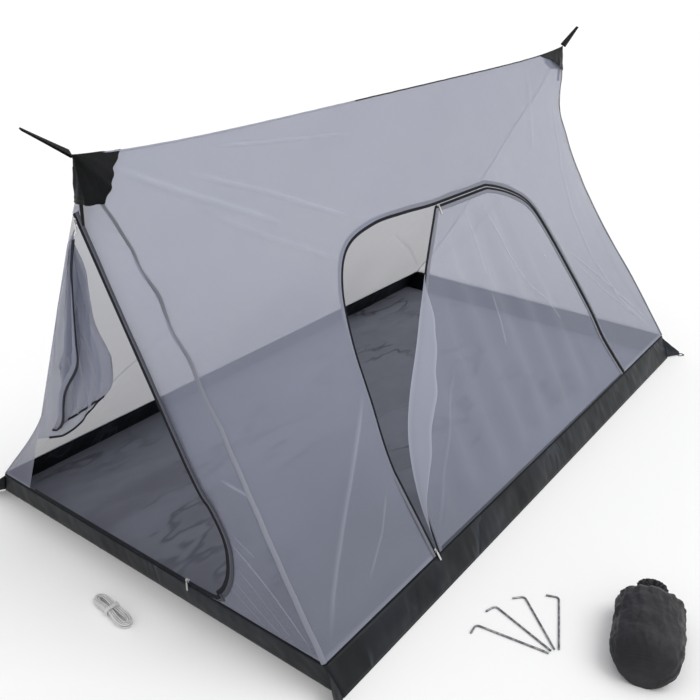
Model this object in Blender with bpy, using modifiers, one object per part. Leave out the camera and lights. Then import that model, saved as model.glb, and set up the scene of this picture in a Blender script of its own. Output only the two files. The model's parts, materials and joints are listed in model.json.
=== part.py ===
"""A hanging mosquito net tent with a tub floor and two zipped doors, and its loose kit.

The frame: the origin is the middle of the groundsheet's underside, +X runs along the ridge
to the far end, the side door is on the -Y slope, and +Z is up. All lengths are in metres.
"""
import math

import bmesh
import bpy
from mathutils import Matrix, Vector

MM = 0.001

# Fabric body: the rectangle at the tub's top, the tub, and the two peaks above it
LENGTH = 2.200
WIDTH = 1.175
TUB_HEIGHT = 0.080
SIDE_SPLAY = 0.041
END_SPLAY = -0.015
NEAR_PEAK_REACH = 0.055
FAR_PEAK_REACH = 0.025
NEAR_PEAK_RISE = 1.010
FAR_PEAK_EXTRA = 0.052
FAR_PEAK_RISE = NEAR_PEAK_RISE + FAR_PEAK_EXTRA
RIDGE_SAG = 0.021
RIDGE_SAG_POWER = 6
FRONT_SEAM_SAG = 0.080
BACK_SEAM_SAG = 0.045
PANEL_TOP_SHARE = 0.945

# How far each corner seam is drawn inwards, by height share and share of its sag
SEAM_HEIGHT_SHARES = (0.0, 0.2, 0.4, 0.6, 0.8, 0.9, 1.0)
FRONT_SAG_SHARES = (0.0, 0.34, 0.78, 1.0, 0.85, 0.40, 0.0)
BACK_SAG_SHARES = (0.0, 0.90, 1.0, 0.62, 0.50, 0.25, 0.0)

# Thickness of each cloth, and the gap that touching pieces keep
NET = 1.0 * MM
WALL = 1.5 * MM
FLOOR = 2.0 * MM
HOOD_CLOTH = 1.5 * MM
GAP = 0.3 * MM

# Bindings
TUB_BINDING_RADIUS = 3.0 * MM
SEAM_RADIUS = 2.0 * MM
SEAM_GAP = 0.6 * MM
SEAM_STEPS = 10
RIDGE_STEPS = 12
RIDGE_START_SHARE = 0.6
SEAM_TANGENT_SHARE = 0.25
BINDING_RESOLUTION = 1

# Side door on the front slope: x as a share of half the length, and height up the slope
DOOR_FEET_SHARES = (-0.579, 0.610)
DOOR_LEFT_TOP_SHARE = (-0.600, 0.216)
DOOR_LEFT_BEND_SHARES = ((-0.578, 0.380), (-0.560, 0.500), (-0.520, 0.617), (-0.450, 0.690),
                         (-0.330, 0.714), (-0.200, 0.711))
DOOR_TOP_SHARES = ((-0.061, 0.702), (0.180, 0.697))
DOOR_RIGHT_BEND_SHARES = ((0.239, 0.690), (0.336, 0.655), (0.415, 0.605), (0.458, 0.530),
                          (0.506, 0.379), (0.545, 0.232), (0.556, 0.149), (0.578, 0.080))
FREE_EDGE_SHARES = ((-0.220, 0.560), (-0.344, 0.432), (-0.458, 0.325), (-0.522, 0.240),
                    (-0.562, 0.129))
FOLD_INNER_SHARES = ((-0.176, 0.534), (-0.285, 0.386), (-0.365, 0.288), (-0.450, 0.200),
                     (-0.530, 0.118))
SIDE_RIPPLE = 6.0 * MM
SIDE_RIPPLE_PITCH = 0.150
SIDE_RIPPLE_FADE = 0.080
SIDE_RIPPLE_FLAT_SHARE = 0.3
SIDE_RIPPLE_LEAN_SHARE = 0.3
FOLD_LIFT = 2.1 * MM

# End door in the near end: y as a share of half the width, and height as a share of the rise
END_ZIP_TOP_SHARES = ((0.0649, 0.876), (-0.354, 0.363))
END_ZIP_BEND_SHARES = ((-0.466, 0.266), (-0.520, 0.205), (-0.530, 0.150), (-0.512, 0.090),
                       (-0.455, 0.036))
END_ZIP_FOOT_SHARES = (-0.340, 0.745)
END_HINGE_SHARES = (0.0690, 0.783)
END_FLAP_HANG_SHARES = ((0.095, 0.795), (0.140, 0.700), (0.156, 0.550), (0.170, 0.400),
                        (0.245, 0.335), (0.360, 0.285), (0.545, 0.215))
END_FLAP_SPAN_SHARES = (0.085, 0.760)
END_FLAP_DEPTH_SHARE = 0.30
END_FLAP_DEPTH = 0.034
END_RIPPLE_SHARE = 0.10
END_RIPPLE = 9.0 * MM
END_FLAP_FOLDS = 3
HINGE_GAP = 1.3 * MM

# Zip: each half is a coil and its tape, measured across from the line where they meet
NET_GAP = GAP + NET / 2
COIL_INNER = 1.0 * MM
COIL_OUTER = 3.5 * MM
COIL_HALF_HEIGHT = 1.2 * MM
TAPE_EDGE = 11.0 * MM
TAPE_HALF_HEIGHT = 0.4 * MM

# Slider and pull tab
SLIDER_LENGTH = 12.0 * MM
SLIDER_REACH = 6.4 * MM
SLIDER_NOSE_SHARE = 0.62
SLIDER_TAIL_SHARE = 0.8
SLIDER_STATION_SHARES = (-0.5, -0.3, 0.3, 0.5)
SLIDER_POST_HALF = 0.6 * MM
SLIDER_PLATE = 1.0 * MM
SLIDER_CLEARANCE = 0.4 * MM
CROWN_ACROSS_SHARE = 0.42
CROWN_WIDTH = 1.8 * MM
CROWN_OUTER = 2.0 * MM
CROWN_WINDOW = 1.2 * MM
PIVOT_HEIGHT = 4.4 * MM
PULL_WIDTH = 6.0 * MM
PULL_LENGTH = 29.0 * MM
PULL_THICKNESS = 1.0 * MM
PULL_WINDOW_WIDTH = 2.8 * MM
PULL_WINDOW_LENGTH = 3.2 * MM
PULL_WINDOW_ROUND_SHARE = 0.4
PULL_NECK_SHARE = 0.72
PULL_NECK_END_SHARE = 1.6
TOP_SLIDER_START = 0.016
LOW_SLIDER_START = 0.012
END_TOP_SLIDER_START = 0.014
END_LOW_SLIDER_START = 0.030

# Peak hoods, hanging straps and tail straps
NEAR_HOOD_RIDGE = 0.110
FAR_HOOD_RIDGE = 0.200
NEAR_HOOD_DROP_SHARE = 0.905
FAR_HOOD_DROP_SHARE = 0.922
HOOD_TIP_SHARE = 2.0
HOOD_TIP_LEAN_SHARE = 0.6
HOOD_RAY_SHARES = (0.12, 0.35, 0.65, 1.0)
HOOD_NOTCH_SHARE = 0.80
HOOD_SLOPE_SHARES = ((0.33, 0.0), (0.67, 0.3))
HOOD_CLEARANCE = 1.4 * MM
HANG_STRAP_WIDTH = 0.022
HANG_STRAP_TIP_SHARE = 0.45
HANG_STRAP_THICKNESS = 1.5 * MM
HANG_STRAP_OPEN = 0.012
HANG_STRAP_OPEN_SHARES = (0.15, 0.90)
NEAR_STRAP_REACH = 0.100
NEAR_STRAP_RISE = 0.062
FAR_STRAP_REACH = 0.120
FAR_STRAP_RISE = 0.062
TAIL_STRAP_WIDTH = 0.012
TAIL_STRAP_THICKNESS = 1.5 * MM
TAIL_STRAP_LENGTH = 0.045
TAIL_STRAP_TAPER_SHARE = 0.25

# Corner ears and peg loops
EAR_REACH = 0.060
EAR_THICKNESS = 3.0 * MM
EAR_TIP_HEIGHT_SHARE = 0.18
EAR_TOP_SHARE = 0.90
EAR_TURN = math.radians(28)
PEG_LOOP_LENGTH = 0.030
PEG_LOOP_WIDTH = 0.022
PEG_LOOP_BAND = 0.005
PEG_LOOP_THICKNESS = 2.0 * MM

# Loose kit: pegs, rope hank and stuff sack
PEG_LENGTH = 0.180
PEG_RADIUS = 2.5 * MM
PEG_HOOK = 0.032
PEG_BEND = 0.010
PEG_COUNT = 4
PEG_FAN_ALONG = 0.410
PEG_FAN_OUT = 0.3625
PEG_FAN_AT = (-LENGTH / 2 + PEG_FAN_ALONG, -WIDTH / 2 - PEG_FAN_OUT)
PEG_FAN_START = math.radians(24)
PEG_FAN_STEP = math.radians(24.5)
PEG_FAN_HUB = 0.024
ROPE_DIAMETER = 3.0 * MM
ROPE_BEND = 3.0
HANK_OUT = 0.122
HANK_ASIDE = 0.030
HANK_AT = (-LENGTH / 2 - HANK_OUT, -HANK_ASIDE)
HANK_TURN = math.radians(-97)
HANK_LAYERS = 4
HANK_LAYER_LOOPS = 3
HANK_LOOP_POINTS = 24
HANK_HALF_LENGTH = 0.074
HANK_END_INNER = 0.0075
HANK_END_STEP = 0.0062
HANK_WAIST_INNER = 0.0024
HANK_WAIST_STEP = 0.0040
HANK_TIP_SHARE = 0.8
HANK_LONG_POWER = 0.9
HANK_ROUND_POWER = 0.8
HANK_RISE_SHARES = (0.125, 0.958)
HANK_WRAP_POWER = 0.4
HANK_BRIDGE_SHARES = ((0.45, 0.15, 0.05), (0.82, 0.60, 0.45))
HANK_LAYER_GAP = 0.7 * MM
HANK_FIRST_TURN = 0.022
HANK_LAST_TURN = 0.018
HANK_WRAPS = 3
HANK_WRAP_POINTS = 20
HANK_WRAP_GAP = 0.8 * MM
HANK_WRAP_CLEARANCE = 1.2 * MM
HANK_WRAP_START = 0.16
SACK_ALONG = 0.440
SACK_OUT = 0.5425
SACK_AT = (-LENGTH / 2 + SACK_ALONG, -WIDTH / 2 - SACK_OUT)
SACK_TURN = math.radians(15)
SACK_LENGTH = 0.310
SACK_WIDTH = 0.160
SACK_HEIGHT = 0.110
SACK_SIDES = 20
SACK_STATION_SHARES = (0.0, 0.04, 0.12, 0.28, 0.45, 0.60, 0.72, 0.80, 0.88, 0.93, 1.0)
SACK_FOOT_SHARE = 0.22
SACK_FOOT_WIDTH_SHARE = 0.45
SACK_GATHER_SHARE = 0.70
SACK_NECK_SHARE = 0.93
SACK_NECK_WIDTH_SHARE = 0.38
SACK_FRILL_SHARE = 1.30
SACK_SWELL_SHARE = 0.04
SACK_FLAT_SHARE = 0.94
SACK_NECK_LIFT = 0.012
SACK_CORD_DIAMETER = 0.003
SACK_CORD_STEPS = 24
SACK_CORD_TAIL = 0.014
SACK_CORD_CROSSING = math.radians(20)
SACK_CORD_LEAN_SHARE = 0.25
SACK_CORD_TAIL_SHARES = (0.45, 1.0)

COLLECTION_NAME = "mosquito_net_tent"
CUTTER_COLLECTION_NAME = "cutters"
NEAR = -1
FAR = 1
FRONT = -1
BACK = 1
END_NAMES = {NEAR: "near", FAR: "far"}
SIDE_NAMES = {FRONT: "front", BACK: "back"}
HOOD_WALL_SHARES = {NEAR: 0.60, FAR: 0.42}
BOTH_ENDS = (0, -1)
START_ONLY = (0,)
MEAN_RISE = (NEAR_PEAK_RISE + FAR_PEAK_RISE) / 2 - RIDGE_SAG
SLOPE_LENGTH = math.hypot(WIDTH / 2, MEAN_RISE)


def clear_scene():
    for old in list(bpy.data.objects):
        bpy.data.objects.remove(old, do_unlink=True)


def new_collection(name):
    collection = bpy.data.collections.new(name)
    bpy.context.scene.collection.children.link(collection)
    return collection


def new_material(name, color, roughness, metallic=0.0):
    material = bpy.data.materials.new(name)
    material.use_nodes = True
    shader = material.node_tree.nodes["Principled BSDF"]
    shader.inputs["Base Color"].default_value = (*color, 1.0)
    shader.inputs["Roughness"].default_value = roughness
    shader.inputs["Metallic"].default_value = metallic
    return material


def smoothstep(value):
    value = min(max(value, 0.0), 1.0)
    return value * value * (3 - 2 * value)


def share_at(shares, heights, height):
    """Read a table of shares at a height, with a smooth curve through its points."""
    last = len(heights) - 1
    index = max(i for i in range(last) if heights[i] <= height or i == 0)
    before = max(index - 1, 0)
    after = min(index + 2, last)
    span = heights[index + 1] - heights[index]
    t = (height - heights[index]) / span
    slope_in = (shares[index + 1] - shares[before]) / (heights[index + 1] - heights[before]) * span
    slope_out = (shares[after] - shares[index]) / (heights[after] - heights[index]) * span
    h00 = 2 * t**3 - 3 * t**2 + 1
    h10 = t**3 - 2 * t**2 + t
    h01 = -2 * t**3 + 3 * t**2
    h11 = t**3 - t**2
    return h00 * shares[index] + h10 * slope_in + h01 * shares[index + 1] + h11 * slope_out


def smooth_path(points, steps, before=None, after=None):
    """Sample a smooth curve through the points, steps samples a span, both ends included."""
    first = before if before is not None else points[0] * 2 - points[1]
    last = after if after is not None else points[-1] * 2 - points[-2]
    padded = [first, *points, last]
    samples = [points[0].copy()]
    for i in range(1, len(padded) - 2):
        p0, p1, p2, p3 = padded[i - 1:i + 3]
        for k in range(1, steps + 1):
            t = k / steps
            point = 0.5 * (2 * p1 + (p2 - p0) * t + (2 * p0 - 5 * p1 + 4 * p2 - p3) * t * t
                           + (3 * p1 - p0 - 3 * p2 + p3) * t**3)
            samples.append(point)
    return samples


def along(points, count):
    """Resample a line of points to evenly spaced ones, both ends included."""
    reach = [0.0]
    for a, b in zip(points, points[1:]):
        reach.append(reach[-1] + (b - a).length)
    samples = []
    index = 0
    for k in range(count):
        target = reach[-1] * k / (count - 1)
        while index < len(points) - 2 and reach[index + 1] < target:
            index += 1
        span = reach[index + 1] - reach[index]
        samples.append(points[index].lerp(points[index + 1], (target - reach[index]) / span))
    return samples


def offsets(points, level_ends=()):
    """Normals of a flat outline, to the left of its travel; level ends keep their height."""
    normals = []
    last = len(points) - 1
    for i, point in enumerate(points):
        tangent = (points[min(i + 1, last)] - points[max(i - 1, 0)]).normalized()
        normals.append(Vector((-tangent.y, tangent.x)))
    for i in level_ends:
        normals[i] = Vector((1 / normals[i].x, 0.0))
    return normals


def shifted(points, distance, level_ends=()):
    return [p + n * distance for p, n in zip(points, offsets(points, level_ends))]


def peak_reach(end):
    return NEAR_PEAK_REACH if end == NEAR else FAR_PEAK_REACH


def peak_rise(end):
    return NEAR_PEAK_RISE if end == NEAR else FAR_PEAK_RISE


def ridge_rise(x):
    """Height of the ridge over the tub's top: it hangs flat between its two pulled-up ends."""
    start = -LENGTH / 2 - NEAR_PEAK_REACH
    span = LENGTH + NEAR_PEAK_REACH + FAR_PEAK_REACH
    share = (x - start) / span
    sag = RIDGE_SAG * (1 - abs(2 * share - 1)**RIDGE_SAG_POWER)
    return NEAR_PEAK_RISE + (FAR_PEAK_RISE - NEAR_PEAK_RISE) * share - sag


def ridge_point(x):
    return Vector((x, 0, TUB_HEIGHT + ridge_rise(x)))


def peak(end):
    return Vector((end * (LENGTH / 2 + peak_reach(end)), 0, TUB_HEIGHT + peak_rise(end)))


def top_corner(end, side):
    return Vector((end * LENGTH / 2, side * WIDTH / 2, TUB_HEIGHT))


def foot_corner(end, side):
    return Vector((end * (LENGTH / 2 + END_SPLAY), side * (WIDTH / 2 + SIDE_SPLAY), 0))


def seam_point(end, side, share):
    """A corner seam: a line from the tub's corner to the peak, drawn in towards the middle."""
    sag = FRONT_SEAM_SAG if side == FRONT else BACK_SEAM_SAG
    shares = FRONT_SAG_SHARES if side == FRONT else BACK_SAG_SHARES
    pull = sag * share_at(shares, SEAM_HEIGHT_SHARES, share)
    straight = top_corner(end, side).lerp(peak(end), share)
    return straight - Vector((end, side, 0)) * pull


def slope_normal(side, x):
    return Vector((0, side * ridge_rise(x), WIDTH / 2)).normalized()


def slope_point(side, x, up, lift=0.0):
    """A point on a slope: x along it, up metres above the tub's top edge, lift out of it."""
    share = up / SLOPE_LENGTH
    point = Vector((x, side * WIDTH / 2 * (1 - share), TUB_HEIGHT + ridge_rise(x) * share))
    return point + slope_normal(side, x) * lift


def front_point(place, lift=0.0):
    return slope_point(FRONT, place.x, place.y, lift)


def end_point(end, place, lift=0.0):
    """A point on an end wall: place is (y, height over the tub), lift out of the wall."""
    lean = peak_reach(end) * place.y / peak_rise(end)
    return Vector((end * (LENGTH / 2 + lean + lift), place.x, TUB_HEIGHT + place.y))


def near_point(place, lift=0.0):
    return end_point(NEAR, place, lift)


def slope_place(share_pair):
    return Vector((share_pair[0] * LENGTH / 2, share_pair[1] * SLOPE_LENGTH))


def near_place(share_pair):
    return Vector((share_pair[0] * WIDTH / 2, share_pair[1] * NEAR_PEAK_RISE))


def foot_place(share, span):
    """A place at the foot of a panel, just clear of the tub's binding."""
    return Vector((share * span / 2, TUB_BINDING_RADIUS + GAP))


def add_object(name, mesh, material, collection):
    obj = bpy.data.objects.new(name, mesh)
    obj.data.materials.append(material)
    collection.objects.link(obj)
    return obj


def solidify(obj, thickness):
    modifier = obj.modifiers.new("thickness", "SOLIDIFY")
    modifier.thickness = thickness
    modifier.offset = 0.0


def stitch(builder, lower, upper):
    """Join two rows of points of unlike counts by triangles, across the shorter diagonals."""
    i = 0
    j = 0
    while i < len(lower) - 1 or j < len(upper) - 1:
        step_lower = j == len(upper) - 1
        if not step_lower and i < len(lower) - 1:
            along_lower = (lower[i + 1].co - upper[j].co).length
            along_upper = (lower[i].co - upper[j + 1].co).length
            step_lower = along_lower < along_upper
        if step_lower:
            builder.faces.new((lower[i], lower[i + 1], upper[j]))
            i += 1
        else:
            builder.faces.new((lower[i], upper[j + 1], upper[j]))
            j += 1


def skin_faces(builder, rows, closed):
    """Join neighbouring rows of points by faces; a closed row's last point meets its first."""
    rings = [[builder.verts.new(p) for p in row] for row in rows]
    for lower, upper in zip(rings, rings[1:]):
        count = len(lower)
        if count != len(upper):
            stitch(builder, lower, upper)
            continue
        for i in range(count if closed else count - 1):
            j = (i + 1) % count
            builder.faces.new((lower[i], lower[j], upper[j], upper[i]))
    return rings


def loft_sheet(name, rows, thickness, material, collection, smooth=True):
    """Cloth: a loft through unlike rows, given its thickness by Solidify."""
    builder = bmesh.new()
    skin_faces(builder, rows, False)
    bmesh.ops.remove_doubles(builder, verts=builder.verts, dist=GAP / 10)
    bmesh.ops.recalc_face_normals(builder, faces=builder.faces)
    mesh = bpy.data.meshes.new(name)
    builder.to_mesh(mesh)
    builder.free()
    if smooth:
        mesh.shade_smooth()
    obj = add_object(name, mesh, material, collection)
    solidify(obj, thickness)
    return obj


def loft_solid(name, sections, material, collection, cyclic=False, smooth=False):
    """A solid swept through closed sections, with its two ends capped unless it is a ring."""
    builder = bmesh.new()
    rings = skin_faces(builder, sections, True)
    first = rings[0]
    last = rings[-1]
    if cyclic:
        for i in range(len(first)):
            j = (i + 1) % len(first)
            builder.faces.new((last[i], last[j], first[j], first[i]))
    else:
        builder.faces.new(list(reversed(first)))
        builder.faces.new(last)
    bmesh.ops.recalc_face_normals(builder, faces=builder.faces)
    mesh = bpy.data.meshes.new(name)
    builder.to_mesh(mesh)
    builder.free()
    if smooth:
        mesh.shade_smooth()
        mesh.set_sharp_from_angle(angle=math.radians(40))
    return add_object(name, mesh, material, collection)


def tube(name, points, radius, material, collection, resolution=BINDING_RESOLUTION, cyclic=False):
    curve = bpy.data.curves.new(name, "CURVE")
    curve.dimensions = "3D"
    curve.bevel_depth = radius
    curve.bevel_resolution = resolution
    curve.use_fill_caps = not cyclic
    spline = curve.splines.new("POLY")
    spline.points.add(len(points) - 1)
    for slot, point in zip(spline.points, points):
        slot.co = (*point, 1.0)
    spline.use_cyclic_u = cyclic
    obj = bpy.data.objects.new(name, curve)
    obj.data.materials.append(material)
    collection.objects.link(obj)
    return obj


def plate(name, outlines, thickness, material, collection):
    """A flat outline, with any holes as further outlines, extruded to a thickness."""
    curve = bpy.data.curves.new(name, "CURVE")
    curve.dimensions = "2D"
    curve.fill_mode = "BOTH"
    curve.extrude = thickness / 2
    for outline in outlines:
        spline = curve.splines.new("POLY")
        spline.points.add(len(outline) - 1)
        for slot, point in zip(spline.points, outline):
            slot.co = (point[0], point[1], 0, 1)
        spline.use_cyclic_u = True
    obj = bpy.data.objects.new(name, curve)
    obj.data.materials.append(material)
    collection.objects.link(obj)
    return obj


def to_mesh_object(obj, collection):
    """Make a mesh of a curve object, with its loose caps welded, so that it can be joined."""
    bpy.context.view_layer.update()
    evaluated = obj.evaluated_get(bpy.context.evaluated_depsgraph_get())
    mesh = bpy.data.meshes.new_from_object(evaluated)
    builder = bmesh.new()
    builder.from_mesh(mesh)
    bmesh.ops.remove_doubles(builder, verts=builder.verts, dist=GAP / 10)
    bmesh.ops.recalc_face_normals(builder, faces=builder.faces)
    builder.to_mesh(mesh)
    builder.free()
    name = obj.name
    matrix = obj.matrix_world.copy()
    curve = obj.data
    bpy.data.objects.remove(obj)
    bpy.data.curves.remove(curve)
    made = bpy.data.objects.new(name, mesh)
    made.matrix_world = matrix
    collection.objects.link(made)
    return made


def rounded_rectangle(half_x, half_y, radius, steps=3, center=(0.0, 0.0)):
    points = []
    quarter = math.pi / 2
    for corner, (sx, sy) in enumerate(((1, 1), (-1, 1), (-1, -1), (1, -1))):
        for k in range(steps + 1):
            angle = corner * quarter + k / steps * quarter
            x = center[0] + sx * (half_x - radius) + radius * math.cos(angle)
            y = center[1] + sy * (half_y - radius) + radius * math.sin(angle)
            points.append((x, y))
    return points


def build_floor(material, collection):
    half_x = LENGTH / 2 + END_SPLAY
    half_y = WIDTH / 2 + SIDE_SPLAY
    bpy.ops.mesh.primitive_cube_add(size=1)
    floor = bpy.context.object
    floor.name = "groundsheet"
    floor.data.name = "groundsheet"
    floor.data.transform(Matrix.Diagonal((2 * half_x, 2 * half_y, FLOOR, 1)))
    floor.location.z = FLOOR / 2
    floor.data.materials.append(material)
    for owner in list(floor.users_collection):
        owner.objects.unlink(floor)
    collection.objects.link(floor)


def wall_line(end_a, side_a, end_b, side_b, height_share, inset):
    """A level line on a tub wall between two corners, with each end drawn in by inset."""
    a = foot_corner(end_a, side_a).lerp(top_corner(end_a, side_a), height_share)
    b = foot_corner(end_b, side_b).lerp(top_corner(end_b, side_b), height_share)
    step = (b - a).normalized() * inset
    return [a + step, b - step]


def build_tub_walls(material, collection):
    low_share = (FLOOR + WALL / 2 + GAP) / TUB_HEIGHT
    high_share = 1 - (TUB_BINDING_RADIUS + GAP) / TUB_HEIGHT
    splay = math.atan2(SIDE_SPLAY, TUB_HEIGHT)
    end_inset = WALL / 2 / math.cos(splay) + GAP
    walls = {
        "tub_wall_front": (NEAR, FRONT, FAR, FRONT, 0.0),
        "tub_wall_back": (NEAR, BACK, FAR, BACK, 0.0),
        "tub_wall_near": (NEAR, FRONT, NEAR, BACK, end_inset),
        "tub_wall_far": (FAR, FRONT, FAR, BACK, end_inset),
    }
    for name, (end_a, side_a, end_b, side_b, inset) in walls.items():
        low = wall_line(end_a, side_a, end_b, side_b, low_share, inset)
        high = wall_line(end_a, side_a, end_b, side_b, high_share, inset)
        loft_sheet(name, [low, high], WALL, material, collection, smooth=False)


def build_tub_binding(material, collection):
    corners = [top_corner(NEAR, FRONT), top_corner(FAR, FRONT),
               top_corner(FAR, BACK), top_corner(NEAR, BACK)]
    tube("tub_binding", corners, TUB_BINDING_RADIUS, material, collection, cyclic=True)


def ear_frame(end, side):
    """The foot of a corner and the level direction in which its ear stands out."""
    turn = EAR_TURN
    direction = Vector((end * math.cos(turn), side * math.sin(turn), 0))
    return foot_corner(end, side), direction


def build_ears(material, loop_material, collection):
    """The tub's surplus cloth folded into an ear at each corner, with a webbing peg loop."""
    for end in (NEAR, FAR):
        for side in (FRONT, BACK):
            label = f"{END_NAMES[end]}_{SIDE_NAMES[side]}"
            foot, direction = ear_frame(end, side)
            edge = top_corner(end, side) - foot
            half = edge.cross(direction).normalized() * EAR_THICKNESS / 2
            inner = direction * WALL / 2
            outer = direction * EAR_REACH
            lift = PEG_LOOP_THICKNESS + GAP + abs(half.z)
            low = edge * (lift / TUB_HEIGHT)
            outline = (foot + inner + low, foot + outer + low,
                       foot + outer + edge * EAR_TIP_HEIGHT_SHARE,
                       foot + inner + edge * EAR_TOP_SHARE)
            sections = [[p - half for p in outline], [p + half for p in outline]]
            loft_solid(f"corner_ear_{label}", sections, material, collection)
            outer = rounded_rectangle(PEG_LOOP_LENGTH / 2, PEG_LOOP_WIDTH / 2, PEG_LOOP_WIDTH / 3)
            inner_x = PEG_LOOP_LENGTH / 2 - PEG_LOOP_BAND
            inner_y = PEG_LOOP_WIDTH / 2 - PEG_LOOP_BAND
            inner = rounded_rectangle(inner_x, inner_y, inner_y / 2)
            loop = plate(f"peg_loop_{label}", (outer, inner), PEG_LOOP_THICKNESS, loop_material,
                         collection)
            place = foot + direction * (EAR_REACH + PEG_LOOP_LENGTH / 2 - PEG_LOOP_BAND)
            place.z = PEG_LOOP_THICKNESS / 2
            loop.location = place
            loop.rotation_euler.z = math.atan2(direction.y, direction.x)


def seam_share(index):
    start = (TUB_BINDING_RADIUS + GAP + SEAM_RADIUS) / NEAR_PEAK_RISE
    return start + (PANEL_TOP_SHARE - start) * index / SEAM_STEPS


def build_seams(material, collection):
    for end in (NEAR, FAR):
        for side in (FRONT, BACK):
            points = [seam_point(end, side, seam_share(i)) for i in range(SEAM_STEPS + 1)]
            name = f"corner_seam_{END_NAMES[end]}_{SIDE_NAMES[side]}"
            tube(name, points, SEAM_RADIUS, material, collection)


def ridge_line():
    """Points of the ridge from the near hood to the far one, starting well inside both."""
    near = peak(NEAR).x + NEAR_HOOD_RIDGE * RIDGE_START_SHARE
    far = peak(FAR).x - FAR_HOOD_RIDGE * RIDGE_START_SHARE
    return [ridge_point(near + (far - near) * i / RIDGE_STEPS) for i in range(RIDGE_STEPS + 1)]


def build_ridge(material, collection):
    tube("ridge_binding", ridge_line(), SEAM_RADIUS, material, collection)


def beside_seam(end, side, share, towards):
    """A net panel's edge: beside the seam's binding, on the side of the given point."""
    seam = seam_point(end, side, share)
    step = SEAM_TANGENT_SHARE / SEAM_STEPS
    tangent = seam_point(end, side, share + step) - seam_point(end, side, share - step)
    tangent.normalize()
    across = towards - seam
    across -= tangent * across.dot(tangent)
    return seam + across.normalized() * (SEAM_RADIUS + SEAM_GAP)


def beside_ridge(side):
    """The top edge of a slope's net, just under the ridge binding."""
    climb = slope_point(side, 0, SLOPE_LENGTH) - slope_point(side, 0, 0)
    return [p - climb.normalized() * (SEAM_RADIUS + SEAM_GAP) for p in ridge_line()]


def side_door_outline():
    """The line where the side zip's halves meet, from its left foot round to its right."""
    left_foot, right_foot = [foot_place(share, LENGTH) for share in DOOR_FEET_SHARES]
    left_top = slope_place(DOOR_LEFT_TOP_SHARE)
    left_bend = [slope_place(p) for p in DOOR_LEFT_BEND_SHARES]
    top = [slope_place(p) for p in DOOR_TOP_SHARES]
    right_bend = [slope_place(p) for p in DOOR_RIGHT_BEND_SHARES]
    path = along([left_foot, left_top], 4)
    path += smooth_path([left_top, *left_bend, top[0]], 2, before=left_foot, after=top[1])[1:]
    path += along(top, 4)[1:]
    path += smooth_path([top[1], *right_bend, right_foot], 2, before=top[0])[1:]
    return path


def door_top_index():
    """Index, in the door's outline, of the left end of the straight top stretch."""
    return 3 + 2 * (len(DOOR_LEFT_BEND_SHARES) + 1)


def flap_outline():
    """The side flap's zipped edge: from its right foot to the top slider, then the free edge."""
    door = side_door_outline()
    top_index = door_top_index()
    free = [door[top_index], *[slope_place(p) for p in FREE_EDGE_SHARES], door[0]]
    return list(reversed(door[top_index:])) + smooth_path(free, 3)[1:]


def sunk_rows(inner, outer, side, steps):
    """Rows from a door's flat outline to a slope's edge, sinking in with the drawn-in edge."""
    rows = []
    for k in range(steps):
        share = k / steps
        row = []
        for a, b in zip(inner, outer):
            up = (b.z - TUB_HEIGHT) / ridge_rise(b.x) * SLOPE_LENGTH
            flat = slope_point(side, b.x, up)
            row.append(a.lerp(flat, share) + (b - flat) * share * share)
        rows.append(row)
    return rows


def build_front_panel(material, collection):
    inner = [front_point(p) for p in shifted(side_door_outline(), TAPE_EDGE + NET_GAP, BOTH_ENDS)]
    middle = slope_point(FRONT, 0, SLOPE_LENGTH / 2)
    shares = [seam_share(i) for i in range(SEAM_STEPS + 1)]
    near = [beside_seam(NEAR, FRONT, share, middle) for share in shares]
    far = [beside_seam(FAR, FRONT, share, middle) for share in reversed(shares)]
    ridge = beside_ridge(FRONT)
    left_count = door_top_index() - 5
    right_count = 2 * len(DOOR_RIGHT_BEND_SHARES) - 4
    top_count = len(inner) - left_count - right_count
    outer = along(near, left_count) + along(ridge, top_count) + along(far, right_count)
    rows = sunk_rows(inner, outer, FRONT, 4) + [near + ridge + far]
    loft_sheet("front_slope_net", rows, NET, material, collection)


def build_back_panel(material, collection):
    """The back slope: rows of points from the tub's edge to the ridge, drawn in at the seams."""
    rows = []
    for i in range(SEAM_STEPS + 1):
        share = seam_share(i)
        middle = slope_point(BACK, 0, share * SLOPE_LENGTH)
        start = beside_seam(NEAR, BACK, share, middle)
        stop = beside_seam(FAR, BACK, share, middle)
        row = []
        for k in range(RIDGE_STEPS + 1):
            t = k / RIDGE_STEPS
            flat = slope_point(BACK, start.x + (stop.x - start.x) * t, share * SLOPE_LENGTH)
            edge = start if t < 0.5 else stop
            flat_edge = slope_point(BACK, edge.x, share * SLOPE_LENGTH)
            fade = 1 - smoothstep(min(t, 1 - t) * 3)
            row.append(flat + (edge - flat_edge) * fade)
        rows.append(row)
    rows.append(beside_ridge(BACK))
    loft_sheet("back_slope_net", rows, NET, material, collection)


def build_far_panel(material, collection):
    """The far end: level rows from seam to seam, flat in the middle."""
    columns = 8
    rows = []
    for i in range(SEAM_STEPS + 1):
        share = seam_share(i)
        middle = end_point(FAR, Vector((0, share * FAR_PEAK_RISE)))
        start = beside_seam(FAR, FRONT, share, middle)
        stop = beside_seam(FAR, BACK, share, middle)
        row = []
        for k in range(columns + 1):
            t = k / columns
            straight = start.lerp(stop, t)
            bulge = (1 - (2 * t - 1)**2) * (middle.x - (start.x + stop.x) / 2)
            row.append(straight + Vector((bulge, 0, 0)))
        rows.append(row)
    loft_sheet("far_end_net", rows, NET, material, collection)


def end_foot_height():
    """Height over the tub of the end zip's bottom run: its tape ends on the binding."""
    return TUB_BINDING_RADIUS + GAP + TAPE_EDGE


def end_zip_foot():
    return [Vector((share * WIDTH / 2, end_foot_height())) for share in END_ZIP_FOOT_SHARES]


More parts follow.
